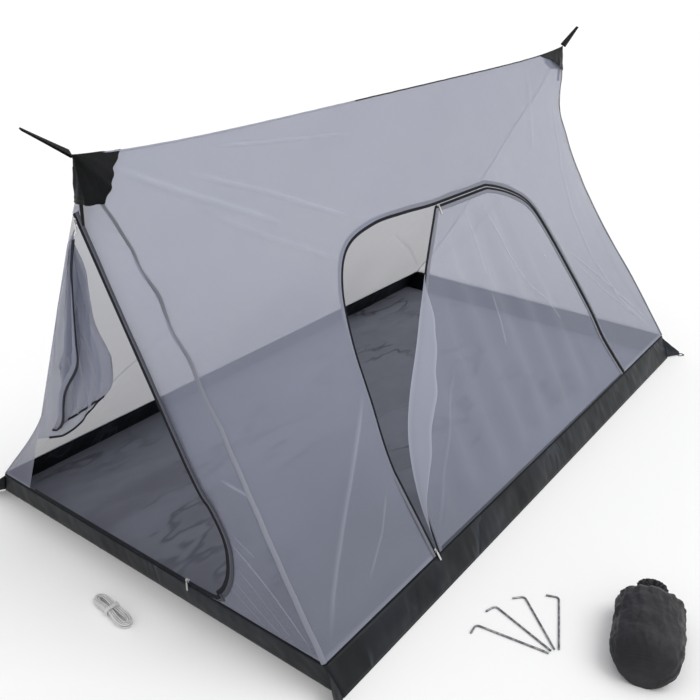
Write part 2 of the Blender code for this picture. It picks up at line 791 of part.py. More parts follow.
def end_zip_outline():
    """The line where the end zip's halves meet, from the peak down to its level foot."""
    top = [near_place(p) for p in END_ZIP_TOP_SHARES]
    bend = [near_place(p) for p in END_ZIP_BEND_SHARES]
    foot = end_zip_foot()
    path = along(top, 6)
    return path + smooth_path([top[1], *bend, foot[0]], 3, before=top[0], after=foot[1])[1:]


def hinge_line():
    """The straight line that the end flap hangs from, from its top to its foot."""
    top_share, foot_share = END_HINGE_SHARES
    height = END_ZIP_TOP_SHARES[0][1] * NEAR_PEAK_RISE
    return (Vector((top_share * WIDTH / 2, height)),
            Vector((foot_share * WIDTH / 2, end_foot_height())))


def on_hinge(height, beside):
    """A place at a height beside the hinge line, which runs on up to the peak hood."""
    top, foot = hinge_line()
    share = (height - top.y) / (foot.y - top.y)
    return Vector((top.x + (foot.x - top.x) * share + beside, height))


def build_near_right_panel(material, collection):
    """The net right of the end doorway, which closes the corner over the zip's top too."""
    outline = shifted(end_zip_outline(), -(TAPE_EDGE + NET_GAP), START_ONLY)
    low = TUB_BINDING_RADIUS + GAP
    zip_side = [p for p in outline[:-1] if p.y > low * 2]
    over = outline[0].y + NET_GAP
    zip_side[0] = Vector((zip_side[0].x, over))
    last_step = (zip_side[-1] - zip_side[-2]).normalized()
    zip_side.append(zip_side[-1] + last_step * ((low - zip_side[-1].y) / last_step.y))
    beside = HINGE_GAP - 2 * NET_GAP
    top = on_hinge(PANEL_TOP_SHARE * NEAR_PEAK_RISE, beside)
    places = [top, on_hinge(over, beside), *zip_side]
    inner = [near_point(p) for p in places]
    outer = []
    for i in range(SEAM_STEPS + 1):
        share = seam_share(SEAM_STEPS - i)
        facing = near_point(Vector((0, share * NEAR_PEAK_RISE)))
        outer.append(beside_seam(NEAR, FRONT, share, facing))
    even = along(outer, len(inner))
    rows = [[a.lerp(b, k / 3) for a, b in zip(inner, even)] for k in range(3)] + [outer]
    loft_sheet("near_end_right_net", rows, NET, material, collection)


def build_near_left_panel(material, collection):
    low = TUB_BINDING_RADIUS + GAP
    high = PANEL_TOP_SHARE * NEAR_PEAK_RISE
    inner = []
    outer = []
    for i in range(SEAM_STEPS + 1):
        share = seam_share(i)
        facing = near_point(Vector((0, share * NEAR_PEAK_RISE)))
        inner.append(near_point(on_hinge(low + (high - low) * i / SEAM_STEPS, HINGE_GAP)))
        outer.append(beside_seam(NEAR, BACK, share, facing))
    rows = [[a.lerp(b, k / 2) for a, b in zip(inner, outer)] for k in range(3)]
    loft_sheet("near_end_left_net", rows, NET, material, collection)


def zip_profile(direction, tape_edge):
    """Section of a zip half as (across, lift) pairs: the coil, then the flat tape."""
    pairs = ((COIL_INNER, -COIL_HALF_HEIGHT), (COIL_OUTER, -COIL_HALF_HEIGHT),
             (COIL_OUTER, -TAPE_HALF_HEIGHT), (tape_edge, -TAPE_HALF_HEIGHT),
             (tape_edge, TAPE_HALF_HEIGHT), (COIL_OUTER, TAPE_HALF_HEIGHT),
             (COIL_OUTER, COIL_HALF_HEIGHT), (COIL_INNER, COIL_HALF_HEIGHT))
    return [(direction * a, h) for a, h in pairs]


def zip_half(name, path, surface, direction, material, collection, level_ends=BOTH_ENDS):
    """Sweep a zip half's section along a path on a surface."""
    sections = []
    for p, n in zip(path, offsets(path, level_ends)):
        sections.append([surface(p + n * a, h) for a, h in zip_profile(direction, TAPE_EDGE)])
    loft_solid(name, sections, material, collection)


def build_side_zip(material, collection):
    zip_half("side_zip_frame", side_door_outline(), front_point, 1, material, collection)
    zip_half("side_zip_flap", flap_outline(), flap_surface, 1, material, collection)


def side_ripple(place):
    """Height of the side flap's soft folds, fading out at its zip and at its turned-back strip."""
    first = slope_place(FOLD_INNER_SHARES[0])
    last = slope_place(FOLD_INNER_SHARES[-1])
    fold_line = (first - last).normalized()
    from_fold = (place - last).dot(Vector((fold_line.y, -fold_line.x)))
    lean = (SLOPE_LENGTH - place.y) * SIDE_RIPPLE_LEAN_SHARE
    from_right = DOOR_TOP_SHARES[1][0] * LENGTH / 2 - place.x + lean
    from_top = DOOR_TOP_SHARES[0][1] * SLOPE_LENGTH - place.y
    fade = 1.0
    for distance in (from_fold, from_right, from_top, place.y):
        fade *= smoothstep(distance / SIDE_RIPPLE_FADE - SIDE_RIPPLE_FLAT_SHARE)
    return SIDE_RIPPLE * fade * math.sin(2 * math.pi * place.x / SIDE_RIPPLE_PITCH)


def flap_surface(place, lift=0.0):
    return front_point(place, lift + side_ripple(place))


def build_side_flap(material, collection):
    upper = shifted(flap_outline(), TAPE_EDGE + NET_GAP, BOTH_ENDS)
    last = len(upper) - 1
    steps = 8
    rows = []
    for k in range(steps + 1):
        row = []
        for i, p in enumerate(upper):
            base = upper[0].lerp(upper[last], i / last)
            row.append(flap_surface(base.lerp(p, k / steps)))
        rows.append(row)
    loft_sheet("side_door_net", rows, NET, material, collection)


def build_side_fold(material, collection):
    """The flap's surplus net turned back along its free edge, over the zip's tape."""
    free_line = along(smooth_path([slope_place(p) for p in FREE_EDGE_SHARES], 4), 13)
    inner_line = along(smooth_path([slope_place(p) for p in FOLD_INNER_SHARES], 4), 13)
    rows = []
    for k in range(4):
        rows.append([flap_surface(a.lerp(b, k / 3), FOLD_LIFT)
                     for a, b in zip(free_line, inner_line)])
    loft_sheet("side_door_fold", rows, NET, material, collection)


def end_flap_rows():
    """Places across the hanging end flap: from its hinge edge to its free edge, top to foot."""
    count = 15
    top, foot = hinge_line()
    start, stop = END_FLAP_SPAN_SHARES
    hinge = [top.lerp(foot, start + (stop - start) * i / (count - 1)) for i in range(count)]
    hang = along(smooth_path([near_place(p) for p in END_FLAP_HANG_SHARES], 4), count)
    return hinge, hang


def end_flap_lift(width, share):
    """Depth of the end flap inside the wall: it sinks in from its hinge and falls in folds."""
    depth = min(END_FLAP_DEPTH, END_FLAP_DEPTH_SHARE * width) * smoothstep(share)
    fold = min(END_RIPPLE, END_RIPPLE_SHARE * width) * smoothstep(2 * share)
    return -(depth + fold * math.sin(2 * math.pi * END_FLAP_FOLDS * share))


def build_end_flap(material, zip_material, collection):
    hinge, hang = end_flap_rows()
    columns = 14
    rows = []
    for k in range(columns + 1):
        share = k / columns
        rows.append([near_point(a.lerp(b, share), end_flap_lift((b - a).length, share))
                     for a, b in zip(hinge, hang)])
    loft_sheet("end_door_net", rows, NET, material, collection)
    sections = []
    for a, p, n in zip(hinge, hang, offsets(hang)):
        depth = end_flap_lift((p - a).length, 1.0)
        sections.append([near_point(p + n * (w - TAPE_EDGE - NET_GAP), depth + h)
                         for w, h in zip_profile(1, TAPE_EDGE)])
    loft_solid("end_zip_flap", sections, zip_material, collection)


def build_end_zip(material, collection):
    path = end_zip_outline() + along(end_zip_foot(), 8)[1:]
    zip_half("end_zip_frame", path, near_point, -1, material, collection, START_ONLY)


def slider_sections(hand):
    """Sections of a slider's channel: two plates joined by the post between the coils."""
    plate_low = COIL_HALF_HEIGHT + SLIDER_CLEARANCE
    plate_high = plate_low + SLIDER_PLATE
    sections = []
    widths = (SLIDER_NOSE_SHARE, 1.0, 1.0, SLIDER_TAIL_SHARE)
    for share, width in zip(SLIDER_STATION_SHARES, widths):
        x = SLIDER_LENGTH * share
        reach = SLIDER_REACH * width
        pairs = ((-SLIDER_POST_HALF, -plate_high), (reach, -plate_high), (reach, -plate_low),
                 (SLIDER_POST_HALF, -plate_low), (SLIDER_POST_HALF, plate_low),
                 (reach, plate_low), (reach, plate_high), (-SLIDER_POST_HALF, plate_high))
        sections.append([Vector((x, hand * y, z)) for y, z in pairs])
    return sections


def crown_outline(radius, low, steps=6):
    points = [(-radius, low)]
    for k in range(steps + 1):
        angle = math.pi * (1 - k / steps)
        points.append((radius * math.cos(angle), PIVOT_HEIGHT + radius * math.sin(angle)))
    points.append((radius, low))
    return points


def union(target, tool, cutters):
    modifier = target.modifiers.new("join", "BOOLEAN")
    modifier.operation = "UNION"
    modifier.solver = "EXACT"
    modifier.object = tool
    tool.hide_render = True
    tool.display_type = "WIRE"
    for owner in list(tool.users_collection):
        owner.objects.unlink(tool)
    cutters.objects.link(tool)


def build_slider(name, matrix, hand, crown_turn, material, collection, cutters):
    """A slider on one half of a zip: channel and crown, placed by its travel frame."""
    body = loft_solid(name, slider_sections(hand), material, collection)
    body.matrix_world = matrix
    plate_low = COIL_HALF_HEIGHT + SLIDER_CLEARANCE
    window_low = plate_low + SLIDER_PLATE + SLIDER_CLEARANCE
    outer = crown_outline(CROWN_OUTER, plate_low + SLIDER_PLATE / 2)
    inner = crown_outline(CROWN_WINDOW, window_low)
    crown = plate(f"{name}_crown", (outer, inner), CROWN_WIDTH, material, collection)
    crown = to_mesh_object(crown, collection)
    stand = Matrix.Rotation(crown_turn, 4, "Z") @ Matrix.Rotation(math.pi / 2, 4, "X")
    center = Matrix.Translation((0, hand * SLIDER_REACH * CROWN_ACROSS_SHARE, 0))
    crown.matrix_world = matrix @ center @ stand
    union(body, crown, cutters)
    return matrix @ center @ Matrix.Rotation(crown_turn, 4, "Z")


def build_pull(name, crown_matrix, material, collection):
    """A pull tab: its own top bar turns in the crown's window, the tab lies along -X."""
    half = PULL_WIDTH / 2
    bar = PULL_THICKNESS / 2
    outline = [(bar, half - bar), (bar, bar - half)]
    neck = -(PULL_WINDOW_LENGTH + 2 * bar)
    tip = bar - PULL_LENGTH
    narrow = half * PULL_NECK_SHARE
    neck_end = neck * PULL_NECK_END_SHARE
    outline += [(neck, -narrow), (neck_end, -half), (tip + half, -half)]
    for k in range(1, 6):
        angle = math.pi * k / 6
        outline.append((tip + half - half * math.sin(angle), -half * math.cos(angle)))
    outline += [(tip + half, half), (neck_end, half), (neck, narrow)]
    window = rounded_rectangle(PULL_WINDOW_LENGTH / 2, PULL_WINDOW_WIDTH / 2,
                               PULL_THICKNESS * PULL_WINDOW_ROUND_SHARE, 1,
                               (-bar - PULL_WINDOW_LENGTH / 2, 0.0))
    pull = plate(name, (outline, window), PULL_THICKNESS, material, collection)
    pull.matrix_world = crown_matrix @ Matrix.Translation((0, 0, PIVOT_HEIGHT))


def travel_matrix(origin, ahead, normal):
    """A frame at origin with X ahead, Z along the surface's normal."""
    x_axis = ahead.normalized()
    z_axis = (normal - x_axis * normal.dot(x_axis)).normalized()
    y_axis = z_axis.cross(x_axis)
    return Matrix.Translation(origin) @ Matrix((x_axis, y_axis, z_axis)).transposed().to_4x4()


def on_line(start, stop, distance):
    return start + (stop - start).normalized() * distance


def report_joint(name, matrix, crown_matrix):
    axis = matrix.to_3x3().col[0]
    pivot = crown_matrix @ Vector((0, 0, PIVOT_HEIGHT))
    turn = crown_matrix.to_3x3().col[1]
    print(f"{name}: travel {tuple(round(v, 5) for v in axis)}, "
          f"pivot {tuple(round(v, 5) for v in pivot)}, axis {tuple(round(v, 5) for v in turn)}")


def build_sliders(material, pull_material, collection, cutters):
    """Four sliders with their pull tabs; each rides on the half of the zip that it encloses."""
    top_left, top_right = [slope_place(p) for p in DOOR_TOP_SHARES]
    low_left = foot_place(DOOR_FEET_SHARES[0], LENGTH)
    low_up = slope_place(DOOR_LEFT_TOP_SHARE)
    end_top, end_bottom = [near_place(p) for p in END_ZIP_TOP_SHARES]
    foot_right, foot_left = end_zip_foot()
    places = (
        ("side_top", front_point, top_left, top_right, TOP_SLIDER_START, -1, math.pi / 2),
        ("side_low", front_point, low_left, low_up, LOW_SLIDER_START, 1, 0.0),
        ("end_top", near_point, end_top, end_bottom, END_TOP_SLIDER_START, 1, None),
        ("end_low", near_point, foot_right, foot_left, END_LOW_SLIDER_START, 1, -math.pi / 2),
    )
    for label, surface, start, stop, distance, hand, turn in places:
        place = on_line(start, stop, distance)
        origin = surface(place)
        ahead = surface(stop) - surface(start)
        normal = surface(place, 1.0) - origin
        matrix = travel_matrix(origin, ahead, normal)
        if turn is None:
            down = matrix.to_3x3().transposed() @ Vector((0, 0, -1))
            turn = math.atan2(down.y, down.x) + math.pi
        crown = build_slider(f"{label}_slider", matrix, hand, turn, material, collection, cutters)
        build_pull(f"{label}_pull", crown, pull_material, collection)
        report_joint(label, matrix, crown)


def hood_ring(end, ray_share):
    """A ring on the net under a hood: ridge, front slope, front seam, end wall and back."""
    drop = NEAR_HOOD_DROP_SHARE if end == NEAR else FAR_HOOD_DROP_SHARE
    length = NEAR_HOOD_RIDGE if end == NEAR else FAR_HOOD_RIDGE
    height = 1 - (1 - drop) * ray_share
    reach = end * length * ray_share
    notch = ridge_point(peak(end).x - reach * HOOD_NOTCH_SHARE)
    sides = {}
    walls = {}
    for side in (FRONT, BACK):
        seam = seam_point(end, side, height)
        sides[side] = []
        for share, depth_share in HOOD_SLOPE_SHARES:
            point = notch.lerp(seam, share)
            up = (point.z - TUB_HEIGHT) / ridge_rise(point.x) * SLOPE_LENGTH
            sides[side].append(slope_point(side, point.x, up).lerp(point, depth_share))
        sides[side].append(seam)
        beside = seam.y * HOOD_WALL_SHARES[end]
        walls[side] = end_point(end, Vector((beside, height * peak_rise(end))))
    ridge = ridge_point(peak(end).x - reach)
    return [ridge, *sides[FRONT], walls[FRONT], walls[BACK], *reversed(sides[BACK])]


def build_hoods(material, collection):
    """The black caps over the peaks: a folded cone of cloth over ridge, seams and end net."""
    over = SEAM_RADIUS + HOOD_CLEARANCE
    for end in (NEAR, FAR):
        builder = bmesh.new()
        rings = skin_faces(builder, [hood_ring(end, share) for share in HOOD_RAY_SHARES], True)
        top = builder.verts.new(peak(end))
        first = rings[0]
        for i in range(len(first)):
            builder.faces.new((first[(i + 1) % len(first)], first[i], top))
        bmesh.ops.recalc_face_normals(builder, faces=builder.faces)
        builder.normal_update()
        moves = [(v, v.normal * over * v.calc_shell_factor()) for v in builder.verts]
        for vertex, move in moves:
            vertex.co += move
        print(f"hood {END_NAMES[end]}: tip at {tuple(round(c, 5) for c in top.co)}")
        mesh = bpy.data.meshes.new(f"{END_NAMES[end]}_peak_hood")
        builder.to_mesh(mesh)
        builder.free()
        hood = add_object(mesh.name, mesh, material, collection)
        solidify(hood, HOOD_CLOTH)


def hood_tip(end):
    """The outside of the hood's tip, where the hanging strap is sewn on."""
    over = HOOD_TIP_SHARE * (SEAM_RADIUS + HOOD_CLEARANCE)
    return peak(end) + Vector((end, 0, HOOD_TIP_LEAN_SHARE)) * over


def build_hang_straps(material, collection):
    """Each peak's strap: a loop of webbing, out and back, that narrows to its fold."""
    for end in (NEAR, FAR):
        reach = NEAR_STRAP_REACH if end == NEAR else FAR_STRAP_REACH
        rise = NEAR_STRAP_RISE if end == NEAR else FAR_STRAP_RISE
        root = hood_tip(end)
        direction = Vector((end * reach, 0, rise)).normalized()
        up = Vector((-direction.z * end, 0, abs(direction.x)))
        start = HOOD_CLOTH / 2 + GAP + HANG_STRAP_THICKNESS / 2
        length = math.hypot(reach, rise)
        open_start, open_stop = HANG_STRAP_OPEN_SHARES
        center = []
        steps = 6
        for k in range(steps + 1):
            share = k / steps
            swell = math.pi * (open_start + (open_stop - open_start) * share)
            open_by = HANG_STRAP_OPEN / 2 * math.sin(swell)
            center.append((start + (length - start) * share, open_by))
        loop = [(s, h, s / length) for s, h in center]
        loop += [(s, -h, s / length) for s, h in reversed(center)]
        sections = []
        count = len(loop)
        for i, (s, h, share) in enumerate(loop):
            before = loop[i - 1]
            after = loop[(i + 1) % count]
            tangent = Vector((after[0] - before[0], after[1] - before[1])).normalized()
            side = Vector((-tangent.y, tangent.x)) * HANG_STRAP_THICKNESS / 2
            half = HANG_STRAP_WIDTH / 2 * (1 - (1 - HANG_STRAP_TIP_SHARE) * share)
            section = []
            for sign_t, sign_w in ((-1, -1), (1, -1), (1, 1), (-1, 1)):
                a = s + side.x * sign_t
                b = h + side.y * sign_t
                section.append(root + direction * a + up * b + Vector((0, sign_w * half, 0)))
            sections.append(section)
        loft_solid(f"{END_NAMES[end]}_hang_strap", sections, material, collection, cyclic=True)


def build_tail_straps(material, collection):
    """A short end of webbing that hangs under each hood, just outside the end net."""
    for end in (NEAR, FAR):
        drop = NEAR_HOOD_DROP_SHARE if end == NEAR else FAR_HOOD_DROP_SHARE
        top = drop * peak_rise(end) - GAP
        lift = COIL_HALF_HEIGHT + GAP + TAIL_STRAP_THICKNESS / 2
        rows = []
        for k in range(4):
            z = top - TAIL_STRAP_LENGTH * k / 3
            half = TAIL_STRAP_WIDTH / 2 * (1 - TAIL_STRAP_TAPER_SHARE * k / 3)
            rows.append([end_point(end, Vector((-half, z)), lift),
                         end_point(end, Vector((half, z)), lift)])
        loft_sheet(f"{END_NAMES[end]}_tail_strap", rows, TAIL_STRAP_THICKNESS, material,
                   collection, smooth=False)


def build_pegs(material, collection):
    """Four wire pegs in a fan on the ground, each with its end bent over into a hook."""
    for index in range(PEG_COUNT):
        angle = PEG_FAN_START + PEG_FAN_STEP * index
        shaft = Vector((math.cos(angle), math.sin(angle), 0))
        hook = Vector((-shaft.y, shaft.x, 0))
        hub = Vector((*PEG_FAN_AT, PEG_RADIUS))
        start = hub + shaft * PEG_FAN_HUB
        corner = start + shaft * (PEG_LENGTH - PEG_BEND)
        points = [start, start.lerp(corner, 0.5), corner]
        for k in range(1, 6):
            turn = math.pi / 2 * k / 5
            points.append(corner + shaft * PEG_BEND * math.sin(turn)
                          + hook * PEG_BEND * (1 - math.cos(turn)))
        points.append(points[-1] + hook * (PEG_HOOK - PEG_BEND))
        tube(f"peg_{index + 1}", points, PEG_RADIUS, material, collection, resolution=2)


def signed_power(value, power):
    return math.copysign(abs(value)**power, value)


def hank_waist_half():
    return HANK_WAIST_INNER + HANK_LAYER_LOOPS * HANK_WAIST_STEP


def hank_loop_point(turns):
    """A point of the loops: each layer spirals in or out, and the next lies on top of it."""
    layer = min(int(turns // HANK_LAYER_LOOPS), HANK_LAYERS - 1)
    into = turns - layer * HANK_LAYER_LOOPS
    ring = into if layer % 2 else HANK_LAYER_LOOPS - into
    angle = 2 * math.pi * turns + math.pi / 2
    along_share = signed_power(math.cos(angle), HANK_LONG_POWER)
    spread = smoothstep(abs(along_share))
    waist = HANK_WAIST_INNER + ring * HANK_WAIST_STEP
    end = HANK_END_INNER + ring * HANK_END_STEP
    half_width = waist + (end - waist) * spread
    half_length = HANK_HALF_LENGTH - (HANK_LAYER_LOOPS - ring) * HANK_END_STEP * HANK_TIP_SHARE
    lift = ROPE_DIAMETER + HANK_WRAP_CLEARANCE
    rise_start, rise_stop = HANK_RISE_SHARES
    fall = smoothstep((abs(along_share) - rise_start) / (rise_stop - rise_start))
    height = ROPE_DIAMETER / 2 + lift * (1 - fall)
    for boundary in range(1, HANK_LAYERS):
        climb = smoothstep(2 * (turns - HANK_LAYER_LOOPS * boundary) + 0.5)
        height += climb * (ROPE_DIAMETER + HANK_LAYER_GAP)
    across = half_width * signed_power(math.sin(angle), HANK_ROUND_POWER)
    return Vector((half_length * along_share, across, height))


def hank_wrap_point(turns):
    """A point of the wraps, which run round the waist of the whole pile."""
    pile = (HANK_LAYERS - 1) * (ROPE_DIAMETER + HANK_LAYER_GAP) + ROPE_DIAMETER
    half_width = hank_waist_half() + ROPE_DIAMETER + HANK_WRAP_CLEARANCE
    half_height = (pile + ROPE_DIAMETER) / 2 + HANK_WRAP_CLEARANCE
    pitch = ROPE_DIAMETER + HANK_WRAP_GAP
    angle = 2 * math.pi * turns
    across = half_width * signed_power(math.cos(angle), HANK_WRAP_POWER)
    height = half_height * signed_power(math.sin(angle), HANK_WRAP_POWER)
    middle = ROPE_DIAMETER / 2 + half_height
    return Vector((pitch * (HANK_WRAPS / 2 - turns) - HANK_WRAP_GAP, across, middle + height))


def hank_points():
    """The whole rope from end to end: its loops, the strand that leaves them, its wraps."""
    turns = HANK_LAYERS * HANK_LAYER_LOOPS
    steps = turns * HANK_LOOP_POINTS
    loops = [hank_loop_point(HANK_FIRST_TURN)]
    loops += [hank_loop_point(i / HANK_LOOP_POINTS) for i in range(1, steps)]
    loops.append(hank_loop_point(turns - HANK_LAST_TURN))
    leave = loops[-1]
    meet = hank_wrap_point(HANK_WRAP_START)
    out = hank_wrap_point(0).y - hank_waist_half()
    bridge = [leave]
    for along_share, out_share, up_share in HANK_BRIDGE_SHARES:
        x = leave.x + (meet.x - leave.x) * along_share
        bridge.append(Vector((x, leave.y + out * out_share, leave.z + out * up_share)))
    bridge.append(meet)
    after = hank_wrap_point(HANK_WRAP_START + 1 / HANK_WRAP_POINTS)
    strand = smooth_path(bridge, 4, before=loops[-2], after=after)[1:]
    wraps = []
    for i in range(1, HANK_WRAPS * HANK_WRAP_POINTS + 1):
        wraps.append(hank_wrap_point(HANK_WRAP_START + i / HANK_WRAP_POINTS))
    return loops + strand + wraps


def least_gap(points, diameter, bend):
    """The least gap between stretches of a rope that are at least a bend apart along it."""
    reach = [0.0]
    for a, b in zip(points, points[1:]):
        reach.append(reach[-1] + (b - a).length)
    least = HANK_HALF_LENGTH
    for i in range(len(points) - 1):
        for j in range(i + 2, len(points) - 1):
            if reach[j] - reach[i + 1] > bend * diameter:
                gap = segment_distance(points[i], points[i + 1], points[j], points[j + 1])
                least = min(least, gap - diameter)
    return least, reach[-1]


def segment_distance(p1, q1, p2, q2):
    """Least distance of two straight stretches."""
    d1 = q1 - p1
    d2 = q2 - p2
    r = p1 - p2
    a = d1.dot(d1)
    e = d2.dot(d2)
    f = d2.dot(r)
    c = d1.dot(r)
    b = d1.dot(d2)
    denominator = a * e - b * b
    s = min(max((b * f - c * e) / denominator, 0.0), 1.0) if denominator > 0 else 0.0
    t = (b * s + f) / e
    if t < 0:
        t = 0.0
        s = min(max(-c / a, 0.0), 1.0)
    elif t > 1:
        t = 1.0
        s = min(max((b - c) / a, 0.0), 1.0)
    return (r + d1 * s - d2 * t).length


def build_hank(material, collection):
    points = hank_points()
    gap, length = least_gap(points, ROPE_DIAMETER, ROPE_BEND)
    print(f"hank: {length:.3f} m of rope in one tube, least gap to itself {gap / MM:.2f} mm")
    rope = tube("guy_rope_hank", points, ROPE_DIAMETER / 2, material, collection)
    rope.location = (*HANK_AT, 0)
    rope.rotation_euler.z = HANK_TURN


def sack_section(share):
    """Half width, half height and middle height of the sack at a share of its length."""
    foot = math.sqrt(max(1 - (1 - min(share / SACK_FOOT_SHARE, 1.0))**2, 0.0))
    gather = smoothstep((share - SACK_GATHER_SHARE) / (SACK_NECK_SHARE - SACK_GATHER_SHARE))
    neck = 1 + (SACK_NECK_WIDTH_SHARE - 1) * gather
    frill = 1 + (SACK_FRILL_SHARE - 1) * smoothstep((share - SACK_NECK_SHARE) / (1 - SACK_NECK_SHARE))
    swell = 1 + SACK_SWELL_SHARE * math.sin(math.pi * share)
    scale = (SACK_FOOT_WIDTH_SHARE + (1 - SACK_FOOT_WIDTH_SHARE) * foot) * neck * frill * swell
    half_height = SACK_HEIGHT / 2 * scale
    middle = half_height * SACK_FLAT_SHARE + SACK_NECK_LIFT * gather
    return SACK_WIDTH / 2 * scale, half_height, middle


def build_sack(material, collection):
    """The stuff sack on its side: a loft that swells, narrows to its neck and flares again."""
    sections = []
    for share in SACK_STATION_SHARES:
        half_width, half_height, middle = sack_section(share)
        ring = []
        for k in range(SACK_SIDES):
            angle = 2 * math.pi * k / SACK_SIDES
            y = half_width * math.cos(angle)
            z = max(middle + half_height * math.sin(angle), 0.0)
            ring.append(Vector((SACK_LENGTH * share, y, z)))
        sections.append(ring)
    sack = loft_solid("stuff_sack", sections, material, collection, smooth=True)
    sack.location = (*SACK_AT, 0)
    sack.rotation_euler.z = SACK_TURN


def build_sack_cord(material, collection):
    """The drawcord round the neck, with its two short ends side by side on top."""
    half_width, half_height, middle = sack_section(SACK_NECK_SHARE)
    radius = SACK_CORD_DIAMETER / 2
    clear = radius + 2 * GAP
    points = []
    for i in range(SACK_CORD_STEPS + 1):
        turn = i / SACK_CORD_STEPS
        angle = math.pi / 2 + SACK_CORD_CROSSING + turn * 2 * (math.pi - SACK_CORD_CROSSING)
        y = (half_width + clear) * math.cos(angle)
        z = middle + (half_height + clear) * math.sin(angle)
        points.append(Vector((SACK_LENGTH * SACK_NECK_SHARE, y, z)))
    for end in (0, -1):
        away = points[end] - Vector((points[end].x, 0, middle))
        tail = away.normalized() * SACK_CORD_TAIL
        lean = Vector((-SACK_CORD_TAIL * SACK_CORD_LEAN_SHARE, 0, 0))
        tip = [points[end] + (tail + lean) * share for share in SACK_CORD_TAIL_SHARES]
        points = list(reversed(tip)) + points if end == 0 else points + tip
    cord = tube("sack_drawcord", points, radius, material, collection)
    cord.location = (*SACK_AT, 0)
    cord.rotation_euler.z = SACK_TURN


def put_on_axis(names, matrix, collection):
    """Moves the origin of named pieces onto their joint's axis, with their shape where it was."""
    for name in names:
        piece = collection.objects[name]
        piece.data.transform(matrix.inverted() @ piece.matrix_world)
        piece.matrix_world = matrix


def set_door_axes(collection):
    """The side door folds along the tub's edge, the end door swings about its hinge line."""
    side_axis = Matrix.Translation((0, -WIDTH / 2, TUB_HEIGHT))
    put_on_axis(("side_door_net", "side_zip_flap", "side_door_fold"), side_axis, collection)
    top, foot = [near_point(place) for place in hinge_line()]
    turn = (foot - top).to_track_quat("X", "Z").to_matrix().to_4x4()
    end_axis = Matrix.Translation(top) @ turn
    put_on_axis(("end_door_net", "end_zip_flap"), end_axis, collection)
    print("end door hinge:", [round(v, 5) for v in top], [round(v, 5) for v in turn.col[0]])


def main():
    clear_scene()
    collection = new_collection(COLLECTION_NAME)
    cutters = new_collection(CUTTER_COLLECTION_NAME)
    net = new_material("polyester_mesh", (0.34, 0.36, 0.42), 0.85)
    floor = new_material("coated_floor", (0.10, 0.105, 0.125), 0.55)
    wall = new_material("coated_wall", (0.035, 0.038, 0.045), 0.5)
    hood = new_material("hood_cloth", (0.012, 0.013, 0.017), 0.6)
    binding = new_material("navy_binding", (0.02, 0.02, 0.035), 0.7)
    seam = new_material("net_binding", (0.30, 0.31, 0.37), 0.85)
    ridge = new_material("ridge_binding", (0.03, 0.03, 0.035), 0.7)
    webbing = new_material("black_webbing", (0.01, 0.011, 0.012), 0.75)
    zip_nylon = new_material("zip_nylon", (0.015, 0.016, 0.03), 0.5)
    nickel = new_material("nickel_plate", (0.75, 0.75, 0.77), 0.25, 1.0)
    steel = new_material("peg_steel", (0.09, 0.09, 0.10), 0.35, 1.0)
    rope = new_material("white_rope", (0.78, 0.78, 0.76), 0.8)
    sack = new_material("sack_nylon", (0.045, 0.045, 0.05), 0.6)

    build_floor(floor, collection)
    build_tub_walls(wall, collection)
    build_tub_binding(binding, collection)
    build_ears(wall, webbing, collection)
    build_front_panel(net, collection)
    build_back_panel(net, collection)
    build_near_left_panel(net, collection)
    build_near_right_panel(net, collection)
    build_far_panel(net, collection)
    build_seams(seam, collection)
    build_ridge(ridge, collection)
    build_side_zip(zip_nylon, collection)
    build_side_flap(net, collection)
    build_side_fold(net, collection)
    build_end_zip(zip_nylon, collection)
    build_end_flap(net, zip_nylon, collection)
    set_door_axes(collection)
    build_sliders(nickel, nickel, collection, cutters)
    build_hoods(hood, collection)
    build_hang_straps(webbing, collection)
    build_tail_straps(webbing, collection)
    build_pegs(steel, collection)
    build_hank(rope, collection)
    build_sack(sack, collection)
    build_sack_cord(webbing, collection)


main()
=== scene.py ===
# %% [markdown]
# # A hanging mosquito net tent and its loose kit
# The tent is cut from a few flat pieces of cloth: two sloping sides and two ends of knitted
# net, sewn to a shallow tub of coated cloth. Nothing inside holds it up: it hangs by a strap at
# each peak, so its seams are drawn inwards like the edges of a hammock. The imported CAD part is
# the frame that everything here is placed by.

# %% Load the frame
import math
import json

import bpy
import numpy as np
from mathutils import Matrix, Vector, noise
from mathutils.geometry import delaunay_2d_cdt

